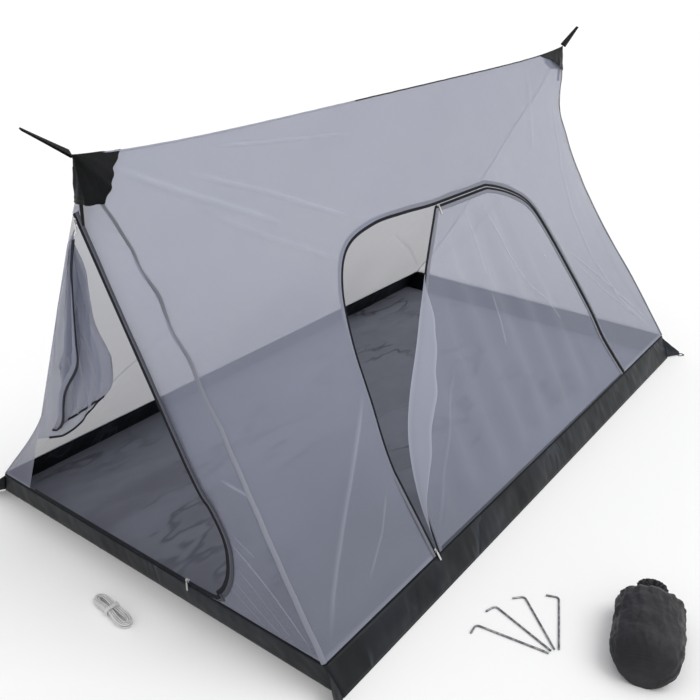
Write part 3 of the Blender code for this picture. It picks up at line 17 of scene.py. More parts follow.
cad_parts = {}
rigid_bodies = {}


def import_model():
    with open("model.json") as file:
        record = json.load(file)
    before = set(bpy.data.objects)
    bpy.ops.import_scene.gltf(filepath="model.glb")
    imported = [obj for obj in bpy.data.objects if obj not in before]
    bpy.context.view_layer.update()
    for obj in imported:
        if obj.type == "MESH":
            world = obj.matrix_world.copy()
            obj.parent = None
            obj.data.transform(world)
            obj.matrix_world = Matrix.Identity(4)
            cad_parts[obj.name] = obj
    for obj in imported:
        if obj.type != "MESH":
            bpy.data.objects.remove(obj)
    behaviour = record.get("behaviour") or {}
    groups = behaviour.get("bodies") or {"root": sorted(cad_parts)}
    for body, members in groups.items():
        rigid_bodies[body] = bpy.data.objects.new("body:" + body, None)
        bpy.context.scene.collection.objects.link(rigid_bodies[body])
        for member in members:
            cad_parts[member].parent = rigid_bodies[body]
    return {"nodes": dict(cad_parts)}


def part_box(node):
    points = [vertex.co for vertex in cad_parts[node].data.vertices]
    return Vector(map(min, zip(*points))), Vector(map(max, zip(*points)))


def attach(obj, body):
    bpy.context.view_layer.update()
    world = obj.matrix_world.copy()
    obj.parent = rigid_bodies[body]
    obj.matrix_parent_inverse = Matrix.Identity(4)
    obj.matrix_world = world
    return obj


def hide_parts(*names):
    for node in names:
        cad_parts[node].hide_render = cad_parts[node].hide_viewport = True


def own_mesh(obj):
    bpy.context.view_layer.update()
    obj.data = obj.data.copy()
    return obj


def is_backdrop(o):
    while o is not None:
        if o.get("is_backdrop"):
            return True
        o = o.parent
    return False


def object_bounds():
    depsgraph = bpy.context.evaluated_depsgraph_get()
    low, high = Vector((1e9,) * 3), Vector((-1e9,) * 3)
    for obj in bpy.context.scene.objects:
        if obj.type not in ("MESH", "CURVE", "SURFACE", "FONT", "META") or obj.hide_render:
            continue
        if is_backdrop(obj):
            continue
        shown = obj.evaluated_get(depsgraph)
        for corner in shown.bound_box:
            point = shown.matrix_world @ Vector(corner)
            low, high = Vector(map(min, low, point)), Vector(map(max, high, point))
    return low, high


MM = 0.001
UP = Vector((0, 0, 1))
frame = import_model()
nodes = frame["nodes"]
boxes = {"frame": [list(corner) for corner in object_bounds()]}
print("frame:", boxes["frame"])

# %% [markdown]
# ## Camera
# The photograph looks down on the near corner from a little above the peaks. The camera's
# place and turn were solved from the four corners of the tub and the two peaks, so that they
# fall on the same pixels as in the photograph.

# %% Camera
CAMERA_AT = Vector((-2.15060, -1.40540, 1.45790))
CAMERA_RIGHT = Vector((0.59817562, -0.80113236, 0.01931012))
CAMERA_UP = Vector((0.33250321, 0.27004799, 0.90361258))
CAMERA_FORWARD = Vector((0.72912794, 0.53409833, -0.42791521))
LENS = 43.165
SENSOR_WIDTH = 36.0
VIEW_LIMIT = 200.0
lens_data = bpy.data.cameras.new("studio_camera")
lens_data.lens = LENS
lens_data.sensor_width = SENSOR_WIDTH
lens_data.clip_end = VIEW_LIMIT
camera = bpy.data.objects.new("studio_camera", lens_data)
turn = Matrix((CAMERA_RIGHT, CAMERA_UP, -CAMERA_FORWARD)).transposed().to_4x4()
camera.matrix_world = Matrix.Translation(CAMERA_AT) @ turn
scene_objects = bpy.context.scene.collection.objects
scene_objects.link(camera)
bpy.context.scene.camera = camera
print("camera:", tuple(round(c, 3) for c in CAMERA_AT))

# %% [markdown]
# ## Helpers for materials and meshes
# A material is a small tree of nodes. One function adds a node, sets its values and links its
# sockets. Colours are written as the sRGB hex values that a paint program shows, and turned
# into the linear numbers that a renderer adds up.


# %% Colour and node helpers
def linear(hex_code):
    """An sRGB hex colour as linear RGBA."""
    channels = []
    for start in (1, 3, 5):
        value = int(hex_code[start:start + 2], 16) / 255
        channels.append(value / 12.92 if value <= 0.04045 else ((value + 0.055) / 1.055)**2.4)
    return (*channels, 1.0)


def add(tree, kind, settings=None, links=None):
    """Adds a node. Settings go to its properties or sockets, and links feed its sockets."""
    node = tree.nodes.new(kind)
    for key, value in (settings or {}).items():
        if isinstance(key, str) and hasattr(node, key):
            setattr(node, key, value)
        else:
            node.inputs[key].default_value = value
    for key, source in (links or {}).items():
        tree.links.new(source, node.inputs[key])
    return node


def start_finish(name, color, roughness, **settings):
    """A new material with its shader: settings are the shader's own sockets."""
    material = bpy.data.materials.new(name)
    material.use_nodes = True
    tree = material.node_tree
    shader = tree.nodes["Principled BSDF"]
    shader.inputs["Base Color"].default_value = linear(color)
    shader.inputs["Roughness"].default_value = roughness
    for key, value in settings.items():
        socket = key.replace("_", " ").title().replace("Ior", "IOR")
        shader.inputs[socket].default_value = value
    return material, tree, shader


def mixed(tree, factor, first, second):
    """Two colours mixed by a factor: a colour is a hex code or a socket."""
    mix = add(tree, "ShaderNodeMix", {"data_type": "RGBA"})
    tree.links.new(factor, mix.inputs["Factor"])
    for slot, color in ((6, first), (7, second)):
        if isinstance(color, str):
            mix.inputs[slot].default_value = linear(color)
        else:
            tree.links.new(color, mix.inputs[slot])
    return mix.outputs[2]


def ramp(tree, value, low, high, start=0.0, stop=1.0):
    """A value stretched from low..high onto start..stop and held there."""
    node = add(tree, "ShaderNodeMapRange", {
        "interpolation_type": "SMOOTHSTEP", "From Min": low, "From Max": high, "To Min": start,
        "To Max": stop}, {"Value": value})
    return node.outputs["Result"]


def math_node(tree, operation, first, second):
    node = add(tree, "ShaderNodeMath", {"operation": operation})
    for slot, value in enumerate((first, second)):
        if isinstance(value, (int, float)):
            node.inputs[slot].default_value = value
        else:
            tree.links.new(value, node.inputs[slot])
    return node.outputs["Value"]


def cloth_metres(tree):
    """The cloth's own flat coordinates in metres: across it and along it."""
    uv = add(tree, "ShaderNodeUVMap", {"uv_map": "cloth_metres"})
    parts = add(tree, "ShaderNodeSeparateXYZ", links={0: uv.outputs["UV"]})
    return parts.outputs["X"], parts.outputs["Y"]


def wave(tree, metres, pitch):
    """A sine wave along a coordinate in metres."""
    return math_node(tree, "SINE", math_node(tree, "MULTIPLY", metres, 2 * math.pi / pitch), 0.0)


def weave_of(tree, lines, pitch):
    """Two sets of threads that cross."""
    return math_node(tree, "MULTIPLY", *[wave(tree, line, pitch) for line in lines])


def aslant(tree):
    """Two coordinates in metres that run aslant over the cloth, one each way."""
    across, on = cloth_metres(tree)
    return [math_node(tree, way, on, across) for way in ("ADD", "SUBTRACT")]


def own_place(tree, axis):
    """Where a point lies along one axis of the object's own space, in metres."""
    where = add(tree, "ShaderNodeTexCoord")
    apart = add(tree, "ShaderNodeSeparateXYZ", links={"Vector": where.outputs["Object"]})
    return apart.outputs[axis]


def place_noise(tree, scale, detail=2.0, stretch=(1.0, 1.0, 1.0), roughness=0.5,
                turn=(0.0, 0.0, 0.0)):
    """Soft noise over the object's own space: scale is in lumps a metre."""
    where = add(tree, "ShaderNodeTexCoord")
    mapping = add(tree, "ShaderNodeMapping", {"Scale": stretch, "Rotation": turn},
                  {"Vector": where.outputs["Object"]})
    node = add(tree, "ShaderNodeTexNoise",
               {"Scale": scale, "Detail": detail, "Roughness": roughness},
               {"Vector": mapping.outputs["Vector"]})
    return node.outputs["Fac"]


def colour_by(tree, shader, color):
    tree.links.new(color, shader.inputs["Base Color"])


def raise_surface(tree, shader, height, distance, strength=1.0):
    bump = add(tree, "ShaderNodeBump", {"Distance": distance, "Strength": strength},
               {"Height": height})
    tree.links.new(bump.outputs["Normal"], shader.inputs["Normal"])


def crumple_with(tree, shader, scale, weave, weave_share, distance):
    """Crumpled cloth: sharp noise with a little of the weave's own height on it."""
    crumple = place_noise(tree, scale, 5.0, roughness=0.6)
    height = math_node(tree, "ADD", crumple, math_node(tree, "MULTIPLY", weave, weave_share))
    raise_surface(tree, shader, height, distance, 0.8)


# %% [markdown]
# A sheet of cloth is a mesh with one layer of faces, a flat coordinate in metres for its weave,
# and a number at each point that says how far the cloth is doubled by a fold there. The net is
# drawn denser where it is folded, and paler there with a painted highlight where folds and
# creases catch the light.


# %% Mesh helpers
# The fold value makes the net denser, and paler with a painted highlight
def mark_folds(mesh, folds):
    mesh.attributes.new("folded_and_lit", "FLOAT", "POINT").data.foreach_set("value", folds)


def make_piece(name, points, faces, finish, body, flat, folds=None, thickness=0.0):
    """A mesh piece that rides on a body and takes the finish it is given."""
    mesh = bpy.data.meshes.new(name)
    mesh.from_pydata([tuple(p) for p in points], [], faces)
    layer = mesh.uv_layers.new(name="cloth_metres")
    for loop in mesh.loops:
        layer.data[loop.index].uv = flat[loop.vertex_index]
    if folds is not None:
        mark_folds(mesh, folds)
    mesh.shade_smooth()
    mesh.materials.append(finish)
    piece = bpy.data.objects.new(name, mesh)
    scene_objects.link(piece)
    if thickness:
        solid = piece.modifiers.new("thickness", "SOLIDIFY")
        solid.thickness = thickness
        solid.offset = 0.0
    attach(piece, body)
    return piece


def grid_faces(rows, columns, closed=False, cyclic=False):
    """Faces between rows of points: closed rows meet themselves, a cyclic grid its first row."""
    faces = []
    for i in range(rows if cyclic else rows - 1):
        for k in range(columns if closed else columns - 1):
            a = i * columns + k
            b = i * columns + (k + 1) % columns
            c = (i + 1) % rows * columns + (k + 1) % columns
            d = (i + 1) % rows * columns + k
            faces.append((a, b, c, d))
    return faces


def clamp(value):
    return min(max(value, 0.0), 1.0)


def smoothstep(value):
    value = clamp(value)
    return value * value * (3 - 2 * value)


def smooth_path(points, steps, before=None, after=None):
    """Sample a smooth curve through the points, steps samples a span, both ends included."""
    first = before if before is not None else points[0] * 2 - points[1]
    last = after if after is not None else points[-1] * 2 - points[-2]
    padded = [first, *points, last]
    samples = [points[0].copy()]
    for i in range(1, len(padded) - 2):
        p0, p1, p2, p3 = padded[i - 1:i + 3]
        for k in range(1, steps + 1):
            t = k / steps
            samples.append(0.5 * (2 * p1 + (p2 - p0) * t + (2 * p0 - 5 * p1 + 4 * p2 - p3) * t * t
                                  + (3 * p1 - p0 - 3 * p2 + p3) * t**3))
    return samples


def reaches(points):
    """Distance along a line of points at each of them."""
    reach = [0.0]
    for a, b in zip(points, points[1:]):
        reach.append(reach[-1] + (b - a).length)
    return reach


def along(points, step):
    """Resample a line to points about a step apart, both ends included."""
    reach = reaches(points)
    count = max(int(round(reach[-1] / step)), 1)
    samples = []
    index = 0
    for k in range(count + 1):
        target = reach[-1] * k / count
        while index < len(points) - 2 and reach[index + 1] < target:
            index += 1
        span = max(reach[index + 1] - reach[index], 1e-9)
        samples.append(points[index].lerp(points[index + 1], (target - reach[index]) / span))
    return samples


def in_parts(points, count):
    return along(points, reaches(points)[-1] / count)


def offsets(points):
    """Normals of a flat line of points, to the left of its travel."""
    last = len(points) - 1
    normals = []
    for i in range(last + 1):
        tangent = (points[min(i + 1, last)] - points[max(i - 1, 0)]).normalized()
        normals.append(Vector((-tangent.y, tangent.x)))
    return normals


def shifted(points, distance):
    return [p + n * distance for p, n in zip(points, offsets(points))]


def sweep(name, path, profile, finish, body, up=None, cyclic=False, scale=None):
    """A closed profile of (side, up) pairs carried along a path, with its ends capped."""
    count = len(path)
    last = count - 1
    points = []
    flat = []
    reach = reaches(path)
    girth = [0.0]
    for a, b in zip(profile, profile[1:]):
        girth.append(girth[-1] + math.hypot(b[0] - a[0], b[1] - a[1]))
    carried = up
    for i, place in enumerate(path):
        after = path[(i + 1) % count] if cyclic else path[min(i + 1, last)]
        before = path[i - 1] if cyclic or i else path[0]
        tangent = (after - before).normalized()
        if carried is None:
            carried = tangent.orthogonal()
        rise = (carried - tangent * carried.dot(tangent)).normalized()
        side = tangent.cross(rise)
        grow = scale(i / last) if scale else 1.0
        for (a, b), around in zip(profile, girth):
            points.append(place + side * a * grow + rise * b)
            flat.append((around, reach[i]))
        if up is None:
            carried = rise
    width = len(profile)
    faces = grid_faces(count, width, closed=True, cyclic=cyclic)
    if not cyclic:
        faces.append(tuple(range(width)))
        faces.append(tuple(last * width + k for k in reversed(range(width))))
    return make_piece(name, points, faces, finish, body, flat)


def round_profile(radius, sides=8):
    return [(radius * math.cos(2 * math.pi * k / sides), radius * math.sin(2 * math.pi * k / sides))
            for k in range(sides)]


def tape_profile(width, thickness):
    """A flat tape with rounded edges."""
    half = width / 2
    edge = thickness / 2
    return [(half - edge, -edge), (half, 0.0), (half - edge, edge), (0.0, edge), (edge - half, edge),
            (-half, 0.0), (edge - half, -edge), (0.0, -edge)]


# %% [markdown]
# ## Cords
# Two pieces are cords. The guy rope is kept as a hank: loops laid out and back, drawn in at the
# waist, and three wraps round it. The stuff sack's drawcord runs once round its neck. Both
# follow the CAD part's routes, with the hank's bends eased a little more. The rope is a plaited
# polyester cord, so its bump follows two sets of strands that cross: white, with painted shade
# that makes the creases between strands pale grey.

# %% Plaited rope finish
STRAND_PITCH = 2.4 * MM


def plaited_rope(name, pale, dark, roughness, pitch):
    """Plaited cord: two sets of strands cross as they go round and along it."""
    material, tree, shader = start_finish(name, pale, roughness, sheen_weight=0.3)
    weave = weave_of(tree, aslant(tree), pitch)
    # Painted shade: the colour darkens into the low creases between strands
    tone = mixed(tree, ramp(tree, weave, -0.9, 0.5), dark, pale)
    patches = ramp(tree, place_noise(tree, 60.0), 0.42, 0.62, 0.0, 0.35)
    colour_by(tree, shader, mixed(tree, patches, tone, dark))
    raise_surface(tree, shader, weave, 0.3 * MM)
    return material


rope_finish = plaited_rope("plaited_polyester_rope", "#fdfdfa", "#d9dadd", 0.75, STRAND_PITCH)
cord_finish = plaited_rope("plaited_nylon_drawcord", "#1b1c1f", "#0c0d0f", 0.65, STRAND_PITCH)
print("rope strands are", STRAND_PITCH / MM, "mm apart")

# %% Guy rope hank
LENGTH = 2.200
WIDTH = 1.175
ROPE_DIAMETER = 3.0 * MM
HANK_AT = Vector((-LENGTH / 2 - 0.122, -0.030, 0.0))
HANK_TURN = math.radians(-97)
HANK_LAYERS = 4
HANK_LAYER_LOOPS = 3
HANK_LOOP_POINTS = 24
HANK_HALF_LENGTH = 0.074
HANK_END_INNER = 0.0075
HANK_END_STEP = 0.0062
HANK_WAIST_INNER = 0.0024
HANK_WAIST_STEP = 0.0040
HANK_TIP_SHARE = 0.8
HANK_RISE_SHARES = (0.125, 0.958)
HANK_BRIDGE_SHARES = ((0.45, 0.15, 0.05), (0.82, 0.60, 0.45))
HANK_LAYER_GAP = 0.7 * MM
HANK_FIRST_TURN = 0.022
HANK_LAST_TURN = 0.018
HANK_WRAPS = 3
HANK_WRAP_POINTS = 20
HANK_WRAP_GAP = 0.8 * MM
HANK_WRAP_CLEARANCE = 1.2 * MM
HANK_WRAP_START = 0.16
HANK_LOOP_POWERS = (0.9, 0.8)
HANK_WRAP_POWER = 0.4
HANK_STEP = 2.5 * MM
HANK_EASINGS = 4


def signed_power(value, power):
    return math.copysign(abs(value)**power, value)


def hank_loop_point(turns):
    """A point of the loops: each layer spirals in or out, and the next lies on top of it."""
    layer = min(int(turns // HANK_LAYER_LOOPS), HANK_LAYERS - 1)
    into = turns - layer * HANK_LAYER_LOOPS
    ring = into if layer % 2 else HANK_LAYER_LOOPS - into
    angle = 2 * math.pi * turns + math.pi / 2
    along_share = signed_power(math.cos(angle), HANK_LOOP_POWERS[0])
    spread = smoothstep(abs(along_share))
    waist = HANK_WAIST_INNER + ring * HANK_WAIST_STEP
    end = HANK_END_INNER + ring * HANK_END_STEP
    half_width = waist + (end - waist) * spread
    half_length = HANK_HALF_LENGTH - (HANK_LAYER_LOOPS - ring) * HANK_END_STEP * HANK_TIP_SHARE
    low, high = HANK_RISE_SHARES
    lift = ROPE_DIAMETER + HANK_WRAP_CLEARANCE
    height = ROPE_DIAMETER / 2 + lift * (1 - smoothstep((abs(along_share) - low) / (high - low)))
    for boundary in range(1, HANK_LAYERS):
        climb = smoothstep(2 * (turns - HANK_LAYER_LOOPS * boundary) + 0.5)
        height += climb * (ROPE_DIAMETER + HANK_LAYER_GAP)
    return Vector((half_length * along_share,
                   half_width * signed_power(math.sin(angle), HANK_LOOP_POWERS[1]), height))


def hank_wrap_point(turns):
    """A point of the wraps, which run round the waist of the whole pile."""
    pile = (HANK_LAYERS - 1) * (ROPE_DIAMETER + HANK_LAYER_GAP) + ROPE_DIAMETER
    waist_half = HANK_WAIST_INNER + HANK_LAYER_LOOPS * HANK_WAIST_STEP
    half_width = waist_half + ROPE_DIAMETER + HANK_WRAP_CLEARANCE
    half_height = (pile + ROPE_DIAMETER) / 2 + HANK_WRAP_CLEARANCE
    angle = 2 * math.pi * turns
    middle = ROPE_DIAMETER / 2 + half_height
    return Vector(((ROPE_DIAMETER + HANK_WRAP_GAP) * (HANK_WRAPS / 2 - turns) - HANK_WRAP_GAP,
                   half_width * signed_power(math.cos(angle), HANK_WRAP_POWER),
                   middle + half_height * signed_power(math.sin(angle), HANK_WRAP_POWER)))


def hank_points():
    """The whole rope from end to end: its loops, the strand that leaves them, its wraps."""
    turns = HANK_LAYERS * HANK_LAYER_LOOPS
    loops = [hank_loop_point(HANK_FIRST_TURN)]
    loops += [hank_loop_point(i / HANK_LOOP_POINTS) for i in range(1, turns * HANK_LOOP_POINTS)]
    loops.append(hank_loop_point(turns - HANK_LAST_TURN))
    leave = loops[-1]
    meet = hank_wrap_point(HANK_WRAP_START)
    out = hank_wrap_point(0).y - HANK_WAIST_INNER - HANK_LAYER_LOOPS * HANK_WAIST_STEP
    bridge = [leave]
    for along_share, out_share, up_share in HANK_BRIDGE_SHARES:
        bridge.append(Vector((leave.x + (meet.x - leave.x) * along_share,
                              leave.y + out * out_share, leave.z + out * up_share)))
    bridge.append(meet)
    after = hank_wrap_point(HANK_WRAP_START + 1 / HANK_WRAP_POINTS)
    strand = smooth_path(bridge, 4, before=loops[-2], after=after)[1:]
    wraps = [hank_wrap_point(HANK_WRAP_START + i / HANK_WRAP_POINTS)
             for i in range(1, HANK_WRAPS * HANK_WRAP_POINTS + 1)]
    return loops + strand + wraps


def rounded(path, passes):
    """Eases a rope's bends: each pass moves a point halfway to the middle of its neighbours."""
    for _ in range(passes):
        inner = [(a + b * 2 + c) / 4 for a, b, c in zip(path, path[1:], path[2:])]
        path = [path[0], *inner, path[-1]]
    return path


hank_place = Matrix.Translation(HANK_AT) @ Matrix.Rotation(HANK_TURN, 4, "Z")
hank_path = [hank_place @ p for p in rounded(along(hank_points(), HANK_STEP), HANK_EASINGS)]
hank = sweep("guy_rope", hank_path, round_profile(ROPE_DIAMETER / 2), rope_finish, "root")
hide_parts("guy_rope_hank")
tuple(hank_path[0])
round(reaches(hank_path)[-1], 3)
print(f"guy rope: {reaches(hank_path)[-1]:.3f} m in its hank")

# %% [markdown]
# ## The stuff sack and its drawcord
# The sack is a tube of thin ripstop nylon with a round foot. The drawcord pulls its mouth
# together, so the cloth falls in deep pleats at the neck and opens again as a frill. Its body
# is a loft whose sections carry pleats that grow towards the neck, with a few slack dents.
# Ripstop nylon has a fine grid of thicker threads. At 5 mm it is about two pixels in the picture,
# so the eye gets a dull dark grey cloth with soft lights along its folds.

# %% Stuff sack
SACK_AT = Vector((-LENGTH / 2 + 0.440, -WIDTH / 2 - 0.5425, 0.0))
SACK_TURN = math.radians(15)
SACK_LENGTH = 0.310
SACK_WIDTH = 0.160
SACK_HEIGHT = 0.110
SACK_FOOT_SHARE = 0.22
SACK_FOOT_WIDTH_SHARE = 0.45
SACK_GATHER_SHARE = 0.70
SACK_NECK_SHARE = 0.93
SACK_NECK_WIDTH_SHARE = 0.38
SACK_FRILL_SHARE = 1.30
SACK_SWELL_SHARE = 0.04
SACK_FLAT_SHARE = 0.94
SACK_NECK_LIFT = 0.012
SACK_PLEATS = 15
SACK_SIDES = 180
SACK_ROWS = 90
SACK_PLEAT_REACH = 0.20
SACK_PLEAT_DEPTH = 0.16
SACK_BODY_DEPTH = 0.015
SACK_SLACK_DEPTH = 0.055
SACK_FRILL_START = 0.04
SACK_FRILL_LEAN = 6 * MM
SACK_MOUTH_ROWS = ((0.80, 0.985), (0.35, 0.955), (0.04, 0.945))
RIPSTOP_PITCH = 5.0 * MM


def ripstop_nylon():
    """Ripstop nylon, woven and dull: dark grey, a faint grid, soft sheen along the folds."""
    material, tree, shader = start_finish("ripstop_nylon", "#222226", 0.5,
                                          specular_ior_level=0.25, sheen_weight=0.05)
    threads = [ramp(tree, wave(tree, line, RIPSTOP_PITCH), 0.9, 1.0) for line in cloth_metres(tree)]
    grid = math_node(tree, "MAXIMUM", *threads)
    tone = mixed(tree, ramp(tree, place_noise(tree, 14.0, 4.0), 0.35, 0.7), "#17171a", "#26262b")
    colour_by(tree, shader, mixed(tree, math_node(tree, "MULTIPLY", grid, 0.3), tone, "#34343a"))
    crumple_with(tree, shader, 45.0, grid, 0.05, 2.5 * MM)
    return material


def sack_section(share):
    """Half width, half height and middle height of the sack at a share of its length."""
    foot = math.sqrt(max(1 - (1 - min(share / SACK_FOOT_SHARE, 1.0))**2, 0.0))
    gather = smoothstep((share - SACK_GATHER_SHARE) / (SACK_NECK_SHARE - SACK_GATHER_SHARE))
    neck = 1 + (SACK_NECK_WIDTH_SHARE - 1) * gather
    frill = 1 + (SACK_FRILL_SHARE - 1) * smoothstep((share - SACK_NECK_SHARE) / (1 - SACK_NECK_SHARE))
    swell = 1 + SACK_SWELL_SHARE * math.sin(math.pi * share)
    scale = (SACK_FOOT_WIDTH_SHARE + (1 - SACK_FOOT_WIDTH_SHARE) * foot) * neck * frill * swell
    half_height = SACK_HEIGHT / 2 * scale
    return SACK_WIDTH / 2 * scale, half_height, half_height * SACK_FLAT_SHARE + SACK_NECK_LIFT * gather


def sack_point(share, angle):
    """A point of the sack's skin, with its pleats and slack dents."""
    half_width, half_height, middle = sack_section(share)
    y, z = math.cos(angle), math.sin(angle)
    near_neck = math.exp(-((share - SACK_NECK_SHARE) / SACK_PLEAT_REACH)**2)
    wander = noise.noise(Vector((share * 5, y * 1.6, z * 1.6)))
    pleat = math.cos(SACK_PLEATS * angle + 5 * wander)
    small = math.cos(2.4 * SACK_PLEATS * angle + 9 * wander)
    past_neck = smoothstep((share - SACK_NECK_SHARE) / SACK_FRILL_START)
    depth = SACK_PLEAT_DEPTH * near_neck * (1 - 0.25 * past_neck) + SACK_BODY_DEPTH
    slack = noise.fractal(Vector((share * 9, y * 2.2, z * 2.2 + 7)), 1.0, 2.0, 4)
    # The pleats and dents only go inwards, so the sack stays inside its own section
    grow = 1 + depth * (0.6 * pleat + 0.18 * small - 0.78)
    grow = grow + SACK_SLACK_DEPTH * slack * (1 - near_neck) - 0.02
    lean = SACK_FRILL_LEAN * past_neck * pleat
    return Vector((SACK_LENGTH * share - lean * 0.5 - 1.5 * MM * past_neck, half_width * grow * y,
                   max(middle + half_height * grow * z, 0.4 * MM)))


sack_place = Matrix.Translation(SACK_AT) @ Matrix.Rotation(SACK_TURN, 4, "Z")
sack_points = []
sack_flat = []
for row in range(SACK_ROWS + 1):
    for column in range(SACK_SIDES):
        ring_share = row / SACK_ROWS
        ring_angle = 2 * math.pi * column / SACK_SIDES
        sack_points.append(sack_place @ sack_point(ring_share, ring_angle))
        sack_flat.append((SACK_LENGTH * ring_share, SACK_WIDTH * ring_angle / 2))
# The mouth folds in on itself: three more rows run down inside the frill and close
for inward, back in SACK_MOUTH_ROWS:
    half_width, half_height, middle = sack_section(back)
    for column in range(SACK_SIDES):
        ring_angle = 2 * math.pi * column / SACK_SIDES
        edge = sack_point(back, ring_angle)
        center = Vector((edge.x, 0, middle))
        sack_points.append(sack_place @ center.lerp(edge, inward))
        sack_flat.append((SACK_LENGTH * (2 - back), SACK_WIDTH * ring_angle / 2))
last_row = SACK_ROWS + len(SACK_MOUTH_ROWS)
sack_faces = grid_faces(last_row + 1, SACK_SIDES, closed=True)
sack_faces.append(tuple(reversed(range(SACK_SIDES))))
sack_faces.append(tuple(last_row * SACK_SIDES + k for k in range(SACK_SIDES)))
sack_finish = ripstop_nylon()
sack = make_piece("stuff_sack_cloth", sack_points, sack_faces, sack_finish, "root",
                  sack_flat)
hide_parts("stuff_sack")
print("stuff sack:", len(sack_points), "points")

# %% Drawcord
SACK_CORD_DIAMETER = 3.0 * MM
SACK_CORD_STEPS = 36
SACK_CORD_TAIL = 0.014
SACK_CORD_CLEARANCE = 0.6 * MM
SACK_CORD_CROSSING = math.radians(20)


def drawcord_points():
    """Once round the neck, with both ends standing up side by side."""
    half_width, half_height, middle = sack_section(SACK_NECK_SHARE)
    clear = SACK_CORD_DIAMETER / 2 + SACK_CORD_CLEARANCE
    points = []
    for i in range(SACK_CORD_STEPS + 1):
        angle = math.pi / 2 + SACK_CORD_CROSSING
        angle += i / SACK_CORD_STEPS * 2 * (math.pi - SACK_CORD_CROSSING)
        points.append(Vector((SACK_LENGTH * SACK_NECK_SHARE, (half_width + clear) * math.cos(angle),
                              middle + (half_height + clear) * math.sin(angle))))
    for end in (0, -1):
        away = points[end] - Vector((points[end].x, 0, middle))
        tail = away.normalized() * SACK_CORD_TAIL - Vector((SACK_CORD_TAIL / 4, 0, 0))
        tip = [points[end] + tail * share for share in (0.25, 0.5, 0.75, 1.0)]
        points = list(reversed(tip)) + points if end == 0 else points + tip
    return points


cord_path = [sack_place @ p for p in drawcord_points()]
drawcord = sweep("drawcord", cord_path, round_profile(SACK_CORD_DIAMETER / 2), cord_finish, "root")
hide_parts("sack_drawcord")
tuple(cord_path[0])
round(reaches(cord_path)[-1], 3)
print(f"drawcord: {reaches(cord_path)[-1]:.3f} m")

# %% [markdown]
# ## The tent's surfaces
# Each cloth panel lies on one of four surfaces, and a point of a panel's flat cut is turned
# into a place in the tent by one function. Every corner seam is a straight line from the tub to
# a peak, drawn inwards by the pull of the cloth, and each panel follows its seams and is flat
# further in.

# %% Surfaces of the tent
TUB_HEIGHT = 0.080
SIDE_SPLAY = 0.041
END_SPLAY = -0.015
PEAK_REACH = {-1: 0.055, 1: 0.025}
PEAK_RISE = {-1: 1.010, 1: 1.062}
RIDGE_SAG = 0.021
SEAM_SAG = {-1: 0.080, 1: 0.045}
SEAM_HEIGHT_SHARES = (0.0, 0.2, 0.4, 0.6, 0.8, 0.9, 1.0)
SAG_SHARES = {-1: (0.0, 0.34, 0.78, 1.0, 0.85, 0.40, 0.0), 1: (0.0, 0.90, 1.0, 0.62, 0.56, 0.50, 0.0)}
PANEL_TOP_SHARE = 0.985
END_TOP_SHARE = 0.945
NEAR, FAR, FRONT, BACK = -1, 1, -1, 1
END_NAMES = {NEAR: "near", FAR: "far"}
SIDE_NAMES = {FRONT: "front", BACK: "back"}
CORNERS = ((NEAR, FRONT), (NEAR, BACK), (FAR, FRONT), (FAR, BACK))
SLOPE_LENGTH = math.hypot(WIDTH / 2, (PEAK_RISE[NEAR] + PEAK_RISE[FAR]) / 2 - RIDGE_SAG)


def share_at(shares, height):
    """Read a table of shares at a height, with a smooth curve through its points."""
    heights = SEAM_HEIGHT_SHARES
    last = len(heights) - 1
    index = max(i for i in range(last) if heights[i] <= height or i == 0)
    before = max(index - 1, 0)
    after = min(index + 2, last)
    span = heights[index + 1] - heights[index]
    t = (height - heights[index]) / span
    slope_in = (shares[index + 1] - shares[before]) / (heights[index + 1] - heights[before]) * span
    slope_out = (shares[after] - shares[index]) / (heights[after] - heights[index]) * span
    return ((2 * t**3 - 3 * t**2 + 1) * shares[index] + (t**3 - 2 * t**2 + t) * slope_in
            + (-2 * t**3 + 3 * t**2) * shares[index + 1] + (t**3 - t**2) * slope_out)


def ridge_rise(x):
    """Height of the ridge over the tub: it hangs flat between its two pulled-up ends."""
    share = (x + LENGTH / 2 + PEAK_REACH[NEAR]) / (LENGTH + PEAK_REACH[NEAR] + PEAK_REACH[FAR])
    sag = RIDGE_SAG * (1 - abs(2 * share - 1)**6)
    return PEAK_RISE[NEAR] + (PEAK_RISE[FAR] - PEAK_RISE[NEAR]) * share - sag


def ridge_point(x):
    return Vector((x, 0, TUB_HEIGHT + ridge_rise(x)))


def peak(end):
    return Vector((end * (LENGTH / 2 + PEAK_REACH[end]), 0, TUB_HEIGHT + PEAK_RISE[end]))


def corner_name(end, side):
    return f"{END_NAMES[end]}_{SIDE_NAMES[side]}"


def top_corner(end, side):
    return Vector((end * LENGTH / 2, side * WIDTH / 2, TUB_HEIGHT))


def foot_corner(end, side):
    return Vector((end * (LENGTH / 2 + END_SPLAY), side * (WIDTH / 2 + SIDE_SPLAY), 0))


def seam_pull(side, share):
    return SEAM_SAG[side] * share_at(SAG_SHARES[side], clamp(share))


def seam_point(end, side, share):
    straight = top_corner(end, side).lerp(peak(end), share)
    return straight - Vector((end, side, 0)) * seam_pull(side, share)


def slope_point(side, place, lift=0.0):
    """A point on a slope: place is x along it and the distance up it, lift is out of it."""
    share = place.y / SLOPE_LENGTH
    rise = ridge_rise(place.x)
    normal = Vector((0, side * rise, WIDTH / 2)).normalized()
    return Vector((place.x, side * WIDTH / 2 * (1 - share), TUB_HEIGHT + rise * share)) + normal * lift


def end_point(end, place, lift=0.0):
    """A point on an end wall: place is y and the height over the tub, lift is out of it."""
    lean = PEAK_REACH[end] * place.y / PEAK_RISE[end]
    return Vector((end * (LENGTH / 2 + lean + lift), place.x, TUB_HEIGHT + place.y))


def front_point(place, lift=0.0):
    return slope_point(FRONT, place, lift)


def near_point(place, lift=0.0):
    return end_point(NEAR, place, lift)


